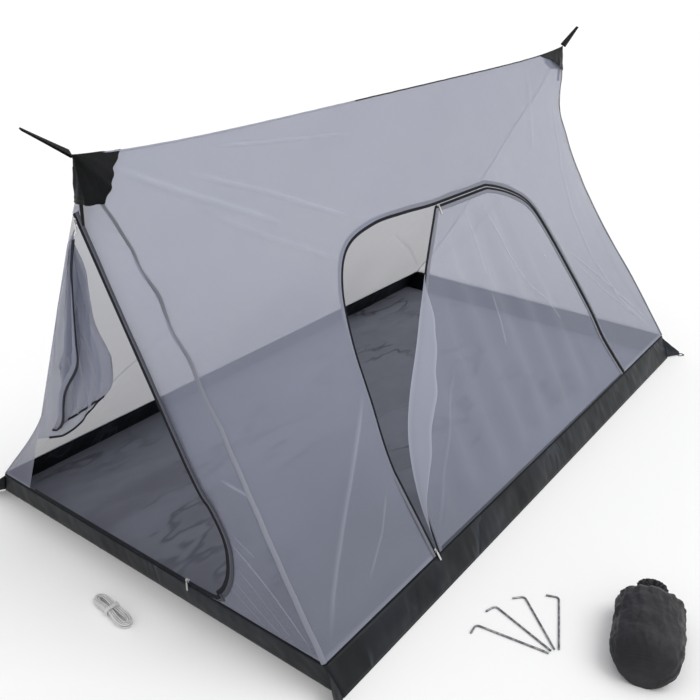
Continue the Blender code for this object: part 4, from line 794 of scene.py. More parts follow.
def slope_place(pair):
    return Vector((pair[0] * LENGTH / 2, pair[1] * SLOPE_LENGTH))


def near_place(pair):
    return Vector((pair[0] * WIDTH / 2, pair[1] * PEAK_RISE[NEAR]))


print("near peak", tuple(round(c, 3) for c in peak(NEAR)), "slope", round(SLOPE_LENGTH, 3), "m")

# %% [markdown]
# ## Doors
# The side door is a wide D in the front slope. Its zip runs up the left, over the top and down
# the right; the part from the left foot to the top slider is open, and the flap's free edge hangs
# back across the doorway. The end door is a narrow leaf: its zip runs down from the near peak,
# round a bend and along the foot, and the loose flap hangs from a straight hinge line.

# %% Door lines
FOOT = 3.3 * MM
END_FOOT = 14.3 * MM
DOOR_FEET = (Vector((-0.579 * LENGTH / 2, FOOT)), Vector((0.610 * LENGTH / 2, FOOT)))
DOOR_LEFT_TOP = slope_place((-0.600, 0.216))
DOOR_LEFT_BEND = [slope_place(p) for p in (
    (-0.578, 0.380), (-0.560, 0.500), (-0.520, 0.617), (-0.450, 0.690), (-0.330, 0.714),
    (-0.200, 0.711))]
DOOR_TOP = [slope_place(p) for p in ((-0.061, 0.702), (0.180, 0.697))]
DOOR_RIGHT_BEND = [slope_place(p) for p in (
    (0.239, 0.690), (0.336, 0.655), (0.415, 0.605), (0.458, 0.530), (0.506, 0.379),
    (0.545, 0.232), (0.556, 0.149), (0.578, 0.080))]
FREE_EDGE = [slope_place(p) for p in (
    (-0.220, 0.560), (-0.344, 0.432), (-0.458, 0.325), (-0.522, 0.240), (-0.562, 0.129))]
FOLD_INNER = [slope_place(p) for p in (
    (-0.176, 0.534), (-0.285, 0.386), (-0.365, 0.288), (-0.450, 0.200), (-0.530, 0.118))]
ZIP_STEP = 0.010


def side_door_line():
    """The line where the side zip's halves meet, from its left foot round to its right."""
    left, right = DOOR_FEET
    path = [left, DOOR_LEFT_TOP]
    path += smooth_path([DOOR_LEFT_TOP, *DOOR_LEFT_BEND, DOOR_TOP[0]], 8, left, DOOR_TOP[1])[1:]
    path += [DOOR_TOP[1]]
    path += smooth_path([DOOR_TOP[1], *DOOR_RIGHT_BEND, right], 8, before=DOOR_TOP[0])[1:]
    return path


def free_edge_line():
    return smooth_path([DOOR_TOP[0], *FREE_EDGE, DOOR_FEET[0]], 8)


def end_zip_line():
    """The line where the end zip's halves meet, from the peak down to its level foot."""
    top = [near_place(p) for p in ((0.0649, 0.876), (-0.354, 0.363))]
    bend = [near_place(p) for p in ((-0.466, 0.266), (-0.520, 0.205), (-0.530, 0.150),
                                    (-0.512, 0.090), (-0.455, 0.036))]
    foot = [Vector((share * WIDTH / 2, END_FOOT)) for share in (-0.340, 0.745)]
    path = [top[0]] + smooth_path([top[1], *bend, foot[0]], 8, top[0], foot[1])
    return path + [foot[1]]


HINGE_TOP = Vector((0.0690 * WIDTH / 2, 0.876 * PEAK_RISE[NEAR]))
HINGE_FOOT = Vector((0.783 * WIDTH / 2, END_FOOT))


def hinge_at(height):
    """The place on the end flap's hinge line at a height, running on up to the peak."""
    share = (height - HINGE_TOP.y) / (HINGE_FOOT.y - HINGE_TOP.y)
    return Vector((HINGE_TOP.x + (HINGE_FOOT.x - HINGE_TOP.x) * share, height))


side_line = along(side_door_line(), ZIP_STEP)
free_line = along(free_edge_line(), ZIP_STEP)
end_line = along(end_zip_line(), ZIP_STEP)
print(f"side zip {reaches(side_line)[-1]:.2f} m, end zip {reaches(end_line)[-1]:.2f} m")

# %% [markdown]
# ## Netting
# The panels are warp-knitted polyester mesh, known as no-see-um net: fine threads with holes of
# about 0.5 mm. From two metres the holes melt into a soft veil that is a little lighter than the
# dark things behind it and a little darker than the light ones. So the finish is a thin grey
# layer that lets part of the light through, denser where the cloth is doubled, and paler there
# with a painted highlight. The real holes are much finer than a pixel, and a 4 mm knit of very
# low contrast stands for them.

# %% Net finish
KNIT_PITCH = 4.0 * MM
NET_COVER = 0.57
NET_FOLD_COVER = 0.86


def knitted_mesh(name, plain, folded_and_lit, cover, fold_cover):
    """Knitted polyester mesh: a veil that gets denser in its folds, and paler there with a painted
    highlight.
    """
    material, tree, shader = start_finish(name, plain, 0.85, sheen_weight=0.15)
    fold = add(tree, "ShaderNodeAttribute", {"attribute_name": "folded_and_lit"}).outputs["Fac"]
    knit = weave_of(tree, aslant(tree), KNIT_PITCH)
    cloudy = ramp(tree, place_noise(tree, 2.2, 3.0), 0.3, 0.7, -0.02, 0.02)
    veil = add(tree, "ShaderNodeMapRange", {"To Min": cover, "To Max": fold_cover}, {"Value": fold})
    threads = math_node(tree, "MULTIPLY", knit, 0.03)
    total = math_node(tree, "ADD", math_node(tree, "ADD", veil.outputs["Result"], threads), cloudy)
    tree.links.new(total, shader.inputs["Alpha"])
    # Less light comes up from the dark floor to the low part of the net, least at the near end
    low = ramp(tree, own_place(tree, "Z"), 0.15, 0.75, 1.0, 0.0)
    near = ramp(tree, own_place(tree, "X"), -1.1, 0.1, 0.34, 0.12)
    # Painted highlight: folds and creases take the paler colour
    tone = mixed(tree, fold, plain, folded_and_lit)
    dim = mixed(tree, math_node(tree, "MULTIPLY", low, near), tone, "#1c1d24")
    colour_by(tree, shader, dim)
    raise_surface(tree, shader, place_noise(tree, 9.0, 3.0), 6.0 * MM, 0.5)
    return material


net_finish = knitted_mesh("knitted_polyester_mesh", "#9397aa", "#b2b6c6", NET_COVER, NET_FOLD_COVER)
shaded_finish = knitted_mesh("knitted_polyester_mesh_shaded", "#8d90a5", "#a6aabc", 0.63, 0.85)
seam_finish = knitted_mesh("mesh_seam_tape", "#73757f", "#a3a6b4", 0.80, 0.85)
print("knit drawn at", KNIT_PITCH / MM, "mm")

# %% [markdown]
# ## Cutting the panels
# A panel's outline is filled with small faces, from points 12 or 14 mm apart, and each point is
# then placed on its surface. Folds are creases that run from where the cloth is pulled: each one
# is a ridge with a band of painted highlight, and gets its own rows of points so that it shows
# crisply.

# %% Cut a panel
NET_STEP = 0.014
NARROW_STEP = 0.012
FOLD_STEP = 0.010
FOLD_ROWS = (-2.0, -1.2, -0.6, 0.0, 0.6, 1.2, 2.0)
SEAM_ALLOWANCE = 0.010
HEM_PALENESS = 0.7
SHORTEST_EDGE = 0.1 * MM
ROW_CLEARANCE = 2 * MM
CUT_TOLERANCE = 0.02 * MM


def segment_gaps(places, line, closed=False):
    """For each place, its least distance to a line, and how far along the line that is."""
    start = np.array([tuple(p) for p in line])
    stop = np.roll(start, -1, axis=0)
    if not closed:
        start, stop = start[:-1], stop[:-1]
    reach = stop - start
    square = np.maximum((reach**2).sum(axis=1), 1e-12)
    t = ((places[:, None, :] - start) * reach).sum(axis=2) / square
    t = np.clip(t, 0.0, 1.0)
    gaps = np.linalg.norm(places[:, None, :] - start - reach * t[:, :, None], axis=2)
    nearest = gaps.argmin(axis=1)
    rows = np.arange(len(places))
    return gaps[rows, nearest], (nearest + t[rows, nearest]) / len(start)


def inside(places, outline):
    """Even-odd test of places against a closed outline."""
    a = np.array([tuple(p) for p in outline])
    b = np.roll(a, -1, axis=0)
    x, y = places[:, :1], places[:, 1:]
    crosses = (a[:, 1] > y) != (b[:, 1] > y)
    rise = np.where(b[:, 1] == a[:, 1], 1e-12, b[:, 1] - a[:, 1])
    hits = crosses & (x < a[:, 0] + (y - a[:, 1]) / rise * (b[:, 0] - a[:, 0]))
    return hits.sum(axis=1) % 2 == 1


def cut_area(outline):
    return abs(sum(a.x * b.y - b.x * a.y for a, b in zip(outline, outline[1:] + outline[:1]))) / 2


def creases_at(place, table):
    """Creases from rows of a line's places, its half width and height in mm, and its paleness: a
    painted highlight that also makes the net denser there.
    """
    return [([place(p) for p in line], width * MM, height * MM, bright)
            for line, width, height, bright in table]


def crease_rows(crease):
    """Points beside a crease's line: a crease is its line, half width, height and painted highlight."""
    line, width = crease[0], crease[1]
    return [place + normal * row * width for normal, place in zip(offsets(line), line)
            for row in FOLD_ROWS]


def crease_amount(places, crease):
    """How much of a crease there is at each place, from 0 to 1."""
    gaps, on = segment_gaps(places, crease[0])
    ends = np.clip(on * 6, 0, 1) * np.clip((1 - on) * 6, 0, 1)
    return np.exp(-(gaps / (0.75 * crease[1]))**2) * ends * (gaps < 2.2 * crease[1])


def cut_panel(name, outline, surface, body, creases, hem, finish=None, step=NET_STEP):
    outline = [outline[0]] + [b for a, b in zip(outline, outline[1:])
                              if (b - a).length > SHORTEST_EDGE]
    creases = [(along(line, FOLD_STEP), width, height, bright)
               for line, width, height, bright in creases]
    low = Vector((min(p.x for p in outline), min(p.y for p in outline)))
    high = Vector((max(p.x for p in outline), max(p.y for p in outline)))
    grid = [(low.x + (i + 0.5 * (k % 2)) * step, low.y + k * step)
            for i in range(int((high.x - low.x) / step) + 1)
            for k in range(int((high.y - low.y) / step) + 1)]
    grid = np.array(grid)
    grid = grid[inside(grid, outline)]
    grid = grid[segment_gaps(grid, outline, True)[0] > 0.4 * step]
    places = [outline]
    for crease in creases:
        grid = grid[segment_gaps(grid, crease[0])[0] > 2.6 * crease[1]]
        rows = np.array([tuple(p) for p in crease_rows(crease)])
        rows = rows[inside(rows, outline)]
        rows = rows[segment_gaps(rows, outline, True)[0] > ROW_CLEARANCE]
        places.append([Vector(p) for p in rows])
    places.append([Vector(p) for p in grid])
    places = [place for group in places for place in group]
    edges = [(i, (i + 1) % len(outline)) for i in range(len(outline))]
    cut = delaunay_2d_cdt(places, edges, [list(range(len(outline)))], 1, CUT_TOLERANCE)
    flat = [Vector(p) for p in cut[0]]
    where = np.array([tuple(p) for p in flat])
    lifts = np.zeros(len(flat))
    folds = np.zeros(len(flat))
    for crease in creases:
        amount = crease_amount(where, crease)
        lifts += amount * crease[2]
        folds = np.maximum(folds, amount * crease[3])
    if hem:
        folds = np.maximum(folds, HEM_PALENESS * (where[:, 1] < hem))
    points = [surface(place, lift) for place, lift in zip(flat, lifts)]
    piece = make_piece(name, points, [tuple(f) for f in cut[2]], finish or net_finish, body,
                       [tuple(p) for p in flat], folds)
    area = cut_area(outline) + reaches(outline + outline[:1])[-1] * SEAM_ALLOWANCE
    return piece


# %% [markdown]
# ## The two slopes
# The front slope goes round the doorway, and the back slope is whole. Both are drawn in at
# their end seams. The creases, paler with a painted highlight, fan out from the near corner and
# the far corner, where the cloth is pulled hardest, and from under the near hood.

# %% Slopes
NET_EDGE = 11.8 * MM
HEM = 7.0 * MM
NARROW_HEM = 4 * MM
SLOPE_BILLOW = 7 * MM
BILLOW_RIM = 0.15
RIDGE_CUT_STEPS = 60
SEAM_FADE = {FRONT: 0.42, BACK: 0.73}
SEAM_SHARES = [i / 40 * PANEL_TOP_SHARE for i in range(41)]


def seam_x(end, side, share):
    return seam_point(end, side, share).x


def slope_surface(side):
    """A slope drawn in at both seams: the pull dies away towards its middle."""
    def surface(place, lift=0.0):
        share = clamp(place.y / SLOPE_LENGTH)
        end = NEAR if place.x < 0 else FAR
        gap = max((seam_x(end, side, share) - place.x) * end, 0.0)
        fade = (1 - min(gap / SEAM_FADE[side], 1.0))**2
        drawn = slope_point(side, place, lift)
        drawn.y -= side * seam_pull(side, share) * fade
        billow = noise.noise(Vector((place.x * 2.3, place.y * 2.9, 3.0 * side)))
        rim = min(gap, place.y, SLOPE_LENGTH - place.y)
        drawn.y += side * SLOPE_BILLOW * billow * smoothstep(rim / BILLOW_RIM)
        return drawn
    return surface


def slope_outline(side):
    """A slope's cut from its near foot, up the near seam, along the ridge and down the far one."""
    outline = []
    for end, shares in ((NEAR, SEAM_SHARES), (FAR, list(reversed(SEAM_SHARES)))):
        line = [Vector((seam_x(end, side, s), max(s * SLOPE_LENGTH, FOOT))) for s in shares]
        outline += line
        if end == NEAR:
            top = SLOPE_LENGTH - 1 * MM
            start = seam_x(NEAR, side, PANEL_TOP_SHARE)
            stop = seam_x(FAR, side, PANEL_TOP_SHARE)
            outline += [Vector((start + (stop - start) * k / RIDGE_CUT_STEPS, top))
                        for k in range(RIDGE_CUT_STEPS + 1)]
    return outline


front_creases = creases_at(slope_place, (
    (((-0.973, 0.968), (-0.768, 0.866), (-0.617, 0.791)), 9, 5, 0.50),
    (((-0.813, 0.937), (-0.625, 0.860), (-0.402, 0.752)), 8, 5, 0.45),
    (((-0.717, 0.975), (-0.537, 0.955), (-0.278, 0.931)), 5, 4, 0.35),
    (((-0.801, 0.850), (-0.662, 0.764), (-0.498, 0.675)), 9, 4, 0.22),
    (((-0.601, 0.401), (-0.747, 0.245), (-0.834, 0.158), (-0.906, 0.090), (-0.963, 0.026)), 7, 5, 0.60),
    (((-0.655, 0.190), (-0.713, 0.124), (-0.807, 0.062)), 4, 3, 0.50),
    (((0.540, 0.430), (0.697, 0.300), (0.960, 0.062)), 4, 3, 0.60),
    (((0.580, 0.372), (0.690, 0.255), (0.878, 0.102)), 4, 3, 0.45),
    (((0.720, 0.960), (0.640, 0.860), (0.560, 0.740)), 12, 5, 0.10),
    (((0.899, 0.878), (0.811, 0.761), (0.737, 0.653), (0.690, 0.510), (0.700, 0.371),
      (0.784, 0.194), (0.945, 0.040)), 9, 4, 0.25)))
doorway = shifted(side_line, NET_EDGE)
doorway[0].y = doorway[-1].y = FOOT
front_outline = slope_outline(FRONT) + list(reversed(along(doorway, 0.02)))
front_net = cut_panel("front_slope_cloth", front_outline, slope_surface(FRONT), "root",
                      front_creases, HEM)
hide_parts("front_slope_net")
back_creases = creases_at(slope_place, (
    (((-0.955, 0.040), (-0.700, 0.250), (-0.450, 0.420)), 7, 5, 0.25),
    (((0.955, 0.040), (0.720, 0.220), (0.500, 0.360)), 7, 5, 0.25),
    (((-0.940, 0.950), (-0.700, 0.820), (-0.420, 0.720)), 7, 5, 0.20)))
back_net = cut_panel("back_slope_cloth", slope_outline(BACK), slope_surface(BACK), "root",
                     back_creases, HEM, finish=shaded_finish)
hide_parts("back_slope_net")

# %% [markdown]
# ## The two ends
# The far end is one triangle. The near end is cut in two by its doorway: a right-hand piece
# with sharp fans of creases from the corner to the zip's bend, and a narrow left-hand strip
# that the door flap hangs from.

# %% Ends
def end_seam(end, side, shares):
    """One slanted edge of an end panel's cut."""
    return [Vector((seam_point(end, side, s).y, max(s * PEAK_RISE[end], FOOT))) for s in shares]


def far_surface(place, lift=0.0):
    """The far end: drawn in at both seams, bulging to the flat wall in the middle."""
    share = clamp(place.y / PEAK_RISE[FAR])
    front = seam_point(FAR, FRONT, share)
    back = seam_point(FAR, BACK, share)
    t = clamp((place.x - front.y) / max(back.y - front.y, 1e-6))
    pull = (seam_pull(FRONT, share) * (1 - t) + seam_pull(BACK, share) * t) * (2 * t - 1)**2
    return end_point(FAR, place, lift - pull)


far_outline = end_seam(FAR, FRONT, SEAM_SHARES) + end_seam(FAR, BACK, reversed(SEAM_SHARES))
far_creases = creases_at(Vector, ((((-0.53, 0.05), (-0.36, 0.24), (-0.22, 0.46)), 6, 4, 0.40),
                                  (((0.52, 0.05), (0.30, 0.26), (0.14, 0.52)), 6, 4, 0.40)))
far_net = cut_panel("far_end_cloth", far_outline, far_surface, "root", far_creases, HEM)
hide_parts("far_end_net")


def line_x(line, height):
    """Where a line of falling heights passes a height."""
    for a, b in zip(line, line[1:]):
        if a.y >= height >= b.y:
            return a.x + (b.x - a.x) * (a.y - height) / max(a.y - b.y, 1e-6)
    return line[0].x if height > line[0].y else line[-1].x


zip_falling = [p for p in shifted(end_line, -NET_EDGE) if p.y > FOOT]


def near_surface(side, start_at, power):
    """A near end panel: flat beside the doorway, and drawn in more and more towards its seam."""
    def surface(place, lift=0.0):
        share = clamp(place.y / PEAK_RISE[NEAR])
        start = start_at(place.y)
        width = (seam_point(NEAR, side, share).y - start) * side
        t = clamp((place.x - start) * side / max(width, 1e-6))
        return near_point(place, lift - seam_pull(side, share) * t**power)
    return surface


near_right_surface = near_surface(FRONT, lambda height: line_x(zip_falling, height), 1.4)
near_left_surface = near_surface(BACK, lambda height: hinge_at(height).x, 1.0)


zip_side = [p for p in zip_falling if p.x < end_line[0].x]
foot_end = Vector((zip_side[-1].x, FOOT))
right_outline = [hinge_at(END_TOP_SHARE * PEAK_RISE[NEAR]) - Vector((MM, 0)),
                 hinge_at(HINGE_TOP.y + 2 * MM) - Vector((MM, 0)), *along(zip_side, 0.015), foot_end]
right_outline += end_seam(NEAR, FRONT, [s for s in SEAM_SHARES if s <= END_TOP_SHARE])
near_creases = creases_at(near_place, (
    (((-0.548, 0.213), (-0.748, 0.114), (-0.940, 0.018)), 2.5, 2, 0.95),
    (((-0.569, 0.149), (-0.730, 0.070), (-0.860, 0.012)), 2, 2, 0.60),
    (((-0.491, 0.344), (-0.654, 0.300), (-0.720, 0.262)), 3, 2, 0.70),
    (((-0.574, 0.226), (-0.674, 0.187)), 2.5, 2, 0.50),
    (((-0.560, 0.100), (-0.680, 0.048), (-0.800, 0.008)), 2, 2, 0.70),
    (((-0.545, 0.070), (-0.640, 0.035), (-0.720, 0.008)), 2, 2, 0.55)))
near_right = cut_panel("near_end_right_cloth", right_outline, near_right_surface, "root",
                       near_creases, NARROW_HEM, step=NARROW_STEP)
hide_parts("near_end_right_net")

left_heights = [FOOT + (END_TOP_SHARE * PEAK_RISE[NEAR] - FOOT) * i / 50 for i in range(51)]
left_outline = [hinge_at(h) + Vector((1.3 * MM, 0)) for h in left_heights]
left_outline += [Vector((seam_point(NEAR, BACK, h / PEAK_RISE[NEAR]).y, h))
                 for h in reversed(left_heights)]
left_creases = creases_at(near_place, ((((0.940, 0.030), (0.740, 0.190), (0.600, 0.370)), 5, 3, 0.35),))
near_left = cut_panel("near_end_left_cloth", left_outline, near_left_surface, "root", left_creases,
                      HEM, finish=shaded_finish, step=NARROW_STEP)
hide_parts("near_end_left_net")

# %% [markdown]
# ## Door flaps
# The side flap is still zipped at its top and right, and its free edge is turned back over the
# zip tape as a doubled strip. It hangs almost in the slope's plane, with soft ripples. The end
# flap is let go: it hangs from its hinge line inside the doorway, and its width gathers in folds.

# %% Side door flap
SIDE_RIPPLE = 6.0 * MM
SIDE_RIPPLE_PITCH = 0.150
SIDE_RIPPLE_FADE = 0.080
FOLD_LIFT = 2.1 * MM


def side_ripple(place):
    """Height of the flap's soft ripples: they die away at its zip and its turned-back strip."""
    first, last = FOLD_INNER[0], FOLD_INNER[-1]
    fold_line = (first - last).normalized()
    from_fold = (place - last).dot(Vector((fold_line.y, -fold_line.x)))
    from_right = DOOR_TOP[1].x - place.x + (SLOPE_LENGTH - place.y) * 0.3
    fade = 1.0
    for distance in (from_fold, from_right, DOOR_TOP[0].y - place.y, place.y):
        fade *= smoothstep(distance / SIDE_RIPPLE_FADE - 0.3)
    return SIDE_RIPPLE * fade * math.sin(2 * math.pi * place.x / SIDE_RIPPLE_PITCH)


def flap_surface(place, lift=0.0):
    return front_point(place, lift + side_ripple(place))


zipped = list(reversed([p for p in side_line if p.x >= DOOR_TOP[0].x - MM]))
flap_line = zipped + free_line[1:]
flap_outline = shifted(flap_line, NET_EDGE)
flap_outline[0].y = flap_outline[-1].y = FOOT
flap_outline = [p for p in flap_outline if p.y >= FOOT]
side_creases = creases_at(slope_place, (
    (((0.156, 0.650), (0.196, 0.513), (0.262, 0.387), (0.326, 0.309)), 5, 3, 0.60),
    (((0.033, 0.442), (0.021, 0.360), (0.007, 0.294)), 4, 3, 0.60),
    (((0.070, 0.664), (0.054, 0.560), (0.040, 0.480)), 6, 3, 0.30),
    (((0.390, 0.452), (0.402, 0.440)), 3, 2, 1.0),
    (((0.300, 0.330), (0.330, 0.290), (0.352, 0.262)), 4, 3, 0.60),
    (((-0.545, 0.040), (-0.380, 0.200), (-0.250, 0.330)), 6, 3, 0.25)))
side_net = cut_panel("side_door_cloth", flap_outline, flap_surface, "side_door", side_creases,
                     NARROW_HEM)
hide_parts("side_door_net")

STRIP_COLUMNS = 7
STRIP_ROWS = 60
STRIP_CURL = 2.5 * MM
STRIP_OVER = 5 * MM
STRIP_STEP = 0.012
STRIP_EDGE_FOLD = 0.85
STRIP_FOLD = 0.55
strip_points = []
strip_flat = []
strip_folds = []
strip_foot = DOOR_FEET[0] + Vector((0, 12 * MM))
outer, inner = [in_parts(along(smooth_path([*line, strip_foot], 8), STRIP_STEP), STRIP_ROWS)
                for line in (FREE_EDGE, FOLD_INNER)]
for row, (a, b) in enumerate(zip(outer, inner)):
    down = row / STRIP_ROWS
    taper = smoothstep(down * 5 + 0.02) * smoothstep((1 - down) * 4 + 0.02)
    b = a.lerp(b, taper * (0.92 + 0.16 * noise.noise(Vector((row * 0.13, 0, 0)))))
    edge = Vector((-STRIP_OVER * taper, 2 * MM * taper))
    for column in range(STRIP_COLUMNS):
        share = column / (STRIP_COLUMNS - 1)
        curl = STRIP_CURL * math.sin(math.pi * share) * (1 + 0.6 * math.sin(row * 0.31))
        strip_points.append(flap_surface((a + edge).lerp(b, share), FOLD_LIFT + curl))
        strip_flat.append((share * (a + edge - b).length, row * (a - outer[row - 1]).length))
        strip_folds.append(STRIP_EDGE_FOLD if share in (0, 1) else STRIP_FOLD)
strip = make_piece("side_door_turned_strip", strip_points, grid_faces(STRIP_ROWS + 1, STRIP_COLUMNS),
                   net_finish, "side_door", strip_flat, strip_folds)
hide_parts("side_door_fold")
strip_width = sum((a - b).length for a, b in zip(outer, inner)) / len(outer) + STRIP_OVER
round(reaches(outer)[-1], 3)
print(f"turned strip: {strip_width:.3f} m wide")

# %% End door flap
END_FLAP_ROWS = 70
END_FLAP_COLUMNS = 84
END_FLAP_SPAN = (0.085, 0.780)
END_FLAP_RIGHT = [near_place(p) for p in (
    (0.090, 0.835), (0.140, 0.780), (0.170, 0.700), (0.175, 0.620), (0.168, 0.555), (0.150, 0.490),
    (0.150, 0.435), (0.180, 0.400))]
END_FLAP_TAPE = [near_place(p) for p in (
    (0.080, 0.820), (0.135, 0.740), (0.175, 0.640), (0.200, 0.559), (0.225, 0.488), (0.350, 0.392),
    (0.405, 0.300), (0.470, 0.262))]
END_FLAP_BACK_SHARE = 0.22
END_FLAP_DROP = 0.035
END_PLEAT = 16 * MM
END_PLEATS = 10
END_PLEAT_FRONT = 0.25
END_RIPPLE = 7 * MM
END_SWAY = 4 * MM
END_FLAP_DEPTHS = (0.0, -20.0 * MM, -33.0 * MM, -27.0 * MM, -22.0 * MM, -18.0 * MM, -13.0 * MM,
                   -7.0 * MM)


def end_flap_row(t, corners):
    """Points across the flap at one height: hinge, right fold, back fold and zip edge."""
    hinge, right, tape = corners
    back = hinge.lerp(right, END_FLAP_BACK_SHARE)
    middle = hinge.lerp(right, 0.45) - near_place((0.0, END_FLAP_DROP * t**4))
    level = [hinge, middle, right, right.lerp(back, 0.06), right.lerp(back, 0.55),
             back, back.lerp(tape, 0.12), tape]
    points = [Vector((*place, depth * smoothstep(0.25 + 1.6 * t)))
              for place, depth in zip(level, END_FLAP_DEPTHS)]
    return in_parts(smooth_path(points, 8), END_FLAP_COLUMNS)


flap_top = HINGE_TOP.lerp(HINGE_FOOT, END_FLAP_SPAN[0])
flap_foot = HINGE_TOP.lerp(HINGE_FOOT, END_FLAP_SPAN[1])
hinge = [flap_top.lerp(flap_foot, i / END_FLAP_ROWS) for i in range(END_FLAP_ROWS + 1)]
right_fold = in_parts(smooth_path(END_FLAP_RIGHT, 10), END_FLAP_ROWS)
tape_edge = in_parts(smooth_path(END_FLAP_TAPE, 10), END_FLAP_ROWS)
flap_rows = []
for row, corners in enumerate(zip(hinge, right_fold, tape_edge)):
    down = row / END_FLAP_ROWS
    across = end_flap_row(down, corners)[:END_FLAP_COLUMNS + 1]
    for column, point in enumerate(across):
        share = column / END_FLAP_COLUMNS
        held = smoothstep(share * 12) * smoothstep((1 - share) * 9) * smoothstep(0.1 + 3 * down)
        ripple = noise.noise(Vector((share * 9, down * 2.2, 5.0))) * END_RIPPLE
        pleat = END_PLEAT * (1.2 - 0.35 * smoothstep(down * 3 - 2) - 0.55 * smoothstep(down * 8 - 7))
        pleat *= END_PLEAT_FRONT + (1 - END_PLEAT_FRONT) * smoothstep(share * 5 - 1.8)
        ripple += pleat * math.sin(2 * math.pi * share * END_PLEATS + 2 * math.sin(3 * down))
        point.z -= held * (ripple + pleat)
        point.x += END_SWAY * held * noise.noise(Vector((share * 5, down * 7, 9.0)))
    flap_rows.append(across)
end_points = [near_point(p.xy, min(p.z, 0.0)) for across in flap_rows for p in across]
end_flat = [(reaches(across)[column], down_at) for down_at, across in
            zip(reaches(hinge), flap_rows) for column in range(END_FLAP_COLUMNS + 1)]
end_folds = [0.30 if column > END_FLAP_COLUMNS - 2 else 0.05
             for across in flap_rows for column in range(END_FLAP_COLUMNS + 1)]
end_net = make_piece("end_door_cloth", end_points, grid_faces(END_FLAP_ROWS + 1, END_FLAP_COLUMNS + 1),
                     net_finish, "end_door", end_flat, end_folds)
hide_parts("end_door_net")

# %% [markdown]
# ## Zips
# A coil zip is two woven tapes with a nylon coil sewn along the edge of each. Where the zip is
# closed the coils lie side by side under the slider's path. The dark tape reaches 9.5 mm from
# the line where the halves meet, and 13 mm on the end wall. Outside it the net is turned under in
# a hem, grey by the side door and dark on the end wall. The coil's teeth are finer than a pixel,
# so they are drawn as raised ribs of 3 mm with a painted highlight on their crests: a soft glint
# in the dark line.

# %% Zip finishes
COIL_PITCH = 3.0 * MM
TWILL_PITCH = 2.5 * MM
TAPE_WEAR = 0.3


def woven_tape(name, color, light, roughness, pitch, depth):
    """Woven tape: fine ribs across it with a painted highlight on their crests, a little paler where it
    has been rubbed.
    """
    material, tree, shader = start_finish(name, color, roughness, specular_ior_level=0.2)
    across, on = cloth_metres(tree)
    rib = wave(tree, math_node(tree, "ADD", on, math_node(tree, "MULTIPLY", across, 0.6)), pitch)
    rubbed = ramp(tree, place_noise(tree, 22.0, 4.0), 0.45, 0.75, 0.0, TAPE_WEAR)
    # Wear in patches, and a painted highlight on the crest of each rib
    lit = math_node(tree, "ADD", rubbed, ramp(tree, rib, -1.0, 1.0, 0.0, 0.15))
    colour_by(tree, shader, mixed(tree, lit, color, light))
    raise_surface(tree, shader, rib, depth)
    return material


tape_finish = woven_tape("woven_zip_tape", "#0d0f1a", "#2b2e3c", 0.7, TWILL_PITCH, 0.2 * MM)
coil_finish = woven_tape("nylon_zip_coil", "#0a0b13", "#242633", 0.55, COIL_PITCH, 0.5 * MM)
hem_finish = knitted_mesh("zip_hem_mesh", "#6d6f7b", "#8d909c", 0.88, 0.95)

# %% Zip parts
COIL_AT = 2.2 * MM
COIL_RADIUS = 1.2 * MM
TAPE_DARK_EDGE = 9.5 * MM
HEM_EDGE = 20.0 * MM
END_TAPE_EDGES = (13.0 * MM, 25.0 * MM)
RIBBON_COLUMNS = 3
TAPE_START = 1.5 * MM
TAPE_THICKNESS = 0.8 * MM
HEM_LIFT = 1.1 * MM
HEM_THICKNESS = 0.6 * MM
HEM_SWAY = 2.0 * MM
HEM_FOLD = 0.4
FLAP_TAPE_ROWS = (0.0, 4.0, 8.0, 11.0)
FOOT_TAPE_ROWS = (0.0, 1.8, 3.6, 5.0)
FOOT_TAPE_START = 6
FLAP_TAPE_LIFT = 1.5 * MM
FLAP_COIL_STEP = 0.008


def ribbon(name, path, surface, first, last, lift, finish, body, thickness, sway=0.0,
           folds=None):
    """A strip beside a line on a surface, from one distance across it to another."""
    points = []
    flat = []
    reach = reaches(path)
    for i, (place, normal) in enumerate(zip(path, offsets(path))):
        swayed = sway * noise.noise(Vector((reach[i] * 9, first * 400, 2.0)))
        for column in range(RIBBON_COLUMNS + 1):
            across = first + (last - first) * column / RIBBON_COLUMNS
            spot = place + normal * (across + swayed * column / RIBBON_COLUMNS)
            spot.y = max(spot.y, FOOT)
            points.append(surface(spot, lift + 0.6 * abs(swayed)))
            flat.append((across, reach[i]))
    marks = [folds] * len(points) if folds is not None else None
    return make_piece(name, points, grid_faces(len(path), RIBBON_COLUMNS + 1), finish, body,
                      flat, marks, thickness)


def zip_half(label, node, path, surface, hand, body, edges=(TAPE_DARK_EDGE, HEM_EDGE),
             hem_cloth=hem_finish):
    """One half of a zip: coil, dark tape and the hem of the net that it is sewn to."""
    tape_end, hem_end = edges
    coil_path = []
    for place, normal in zip(path, offsets(path)):
        spot = place + normal * hand * COIL_AT
        coil_path.append(surface(spot, 0.0))
    coil = sweep(f"{label}_coil", coil_path, round_profile(COIL_RADIUS, 6), coil_finish, body)
    tape = ribbon(f"{label}_tape", path, surface, hand * TAPE_START, hand * tape_end, 0.0,
                  tape_finish, body, TAPE_THICKNESS)
    hem = ribbon(f"{label}_hem", path, surface, hand * tape_end, hand * hem_end, HEM_LIFT,
                 hem_cloth, body, HEM_THICKNESS, HEM_SWAY, HEM_FOLD)
    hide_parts(node)
    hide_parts(node)
    print(f"{label}: {reaches(coil_path)[-1]:.2f} m of coil, {len(hem.data.vertices)} hem points")


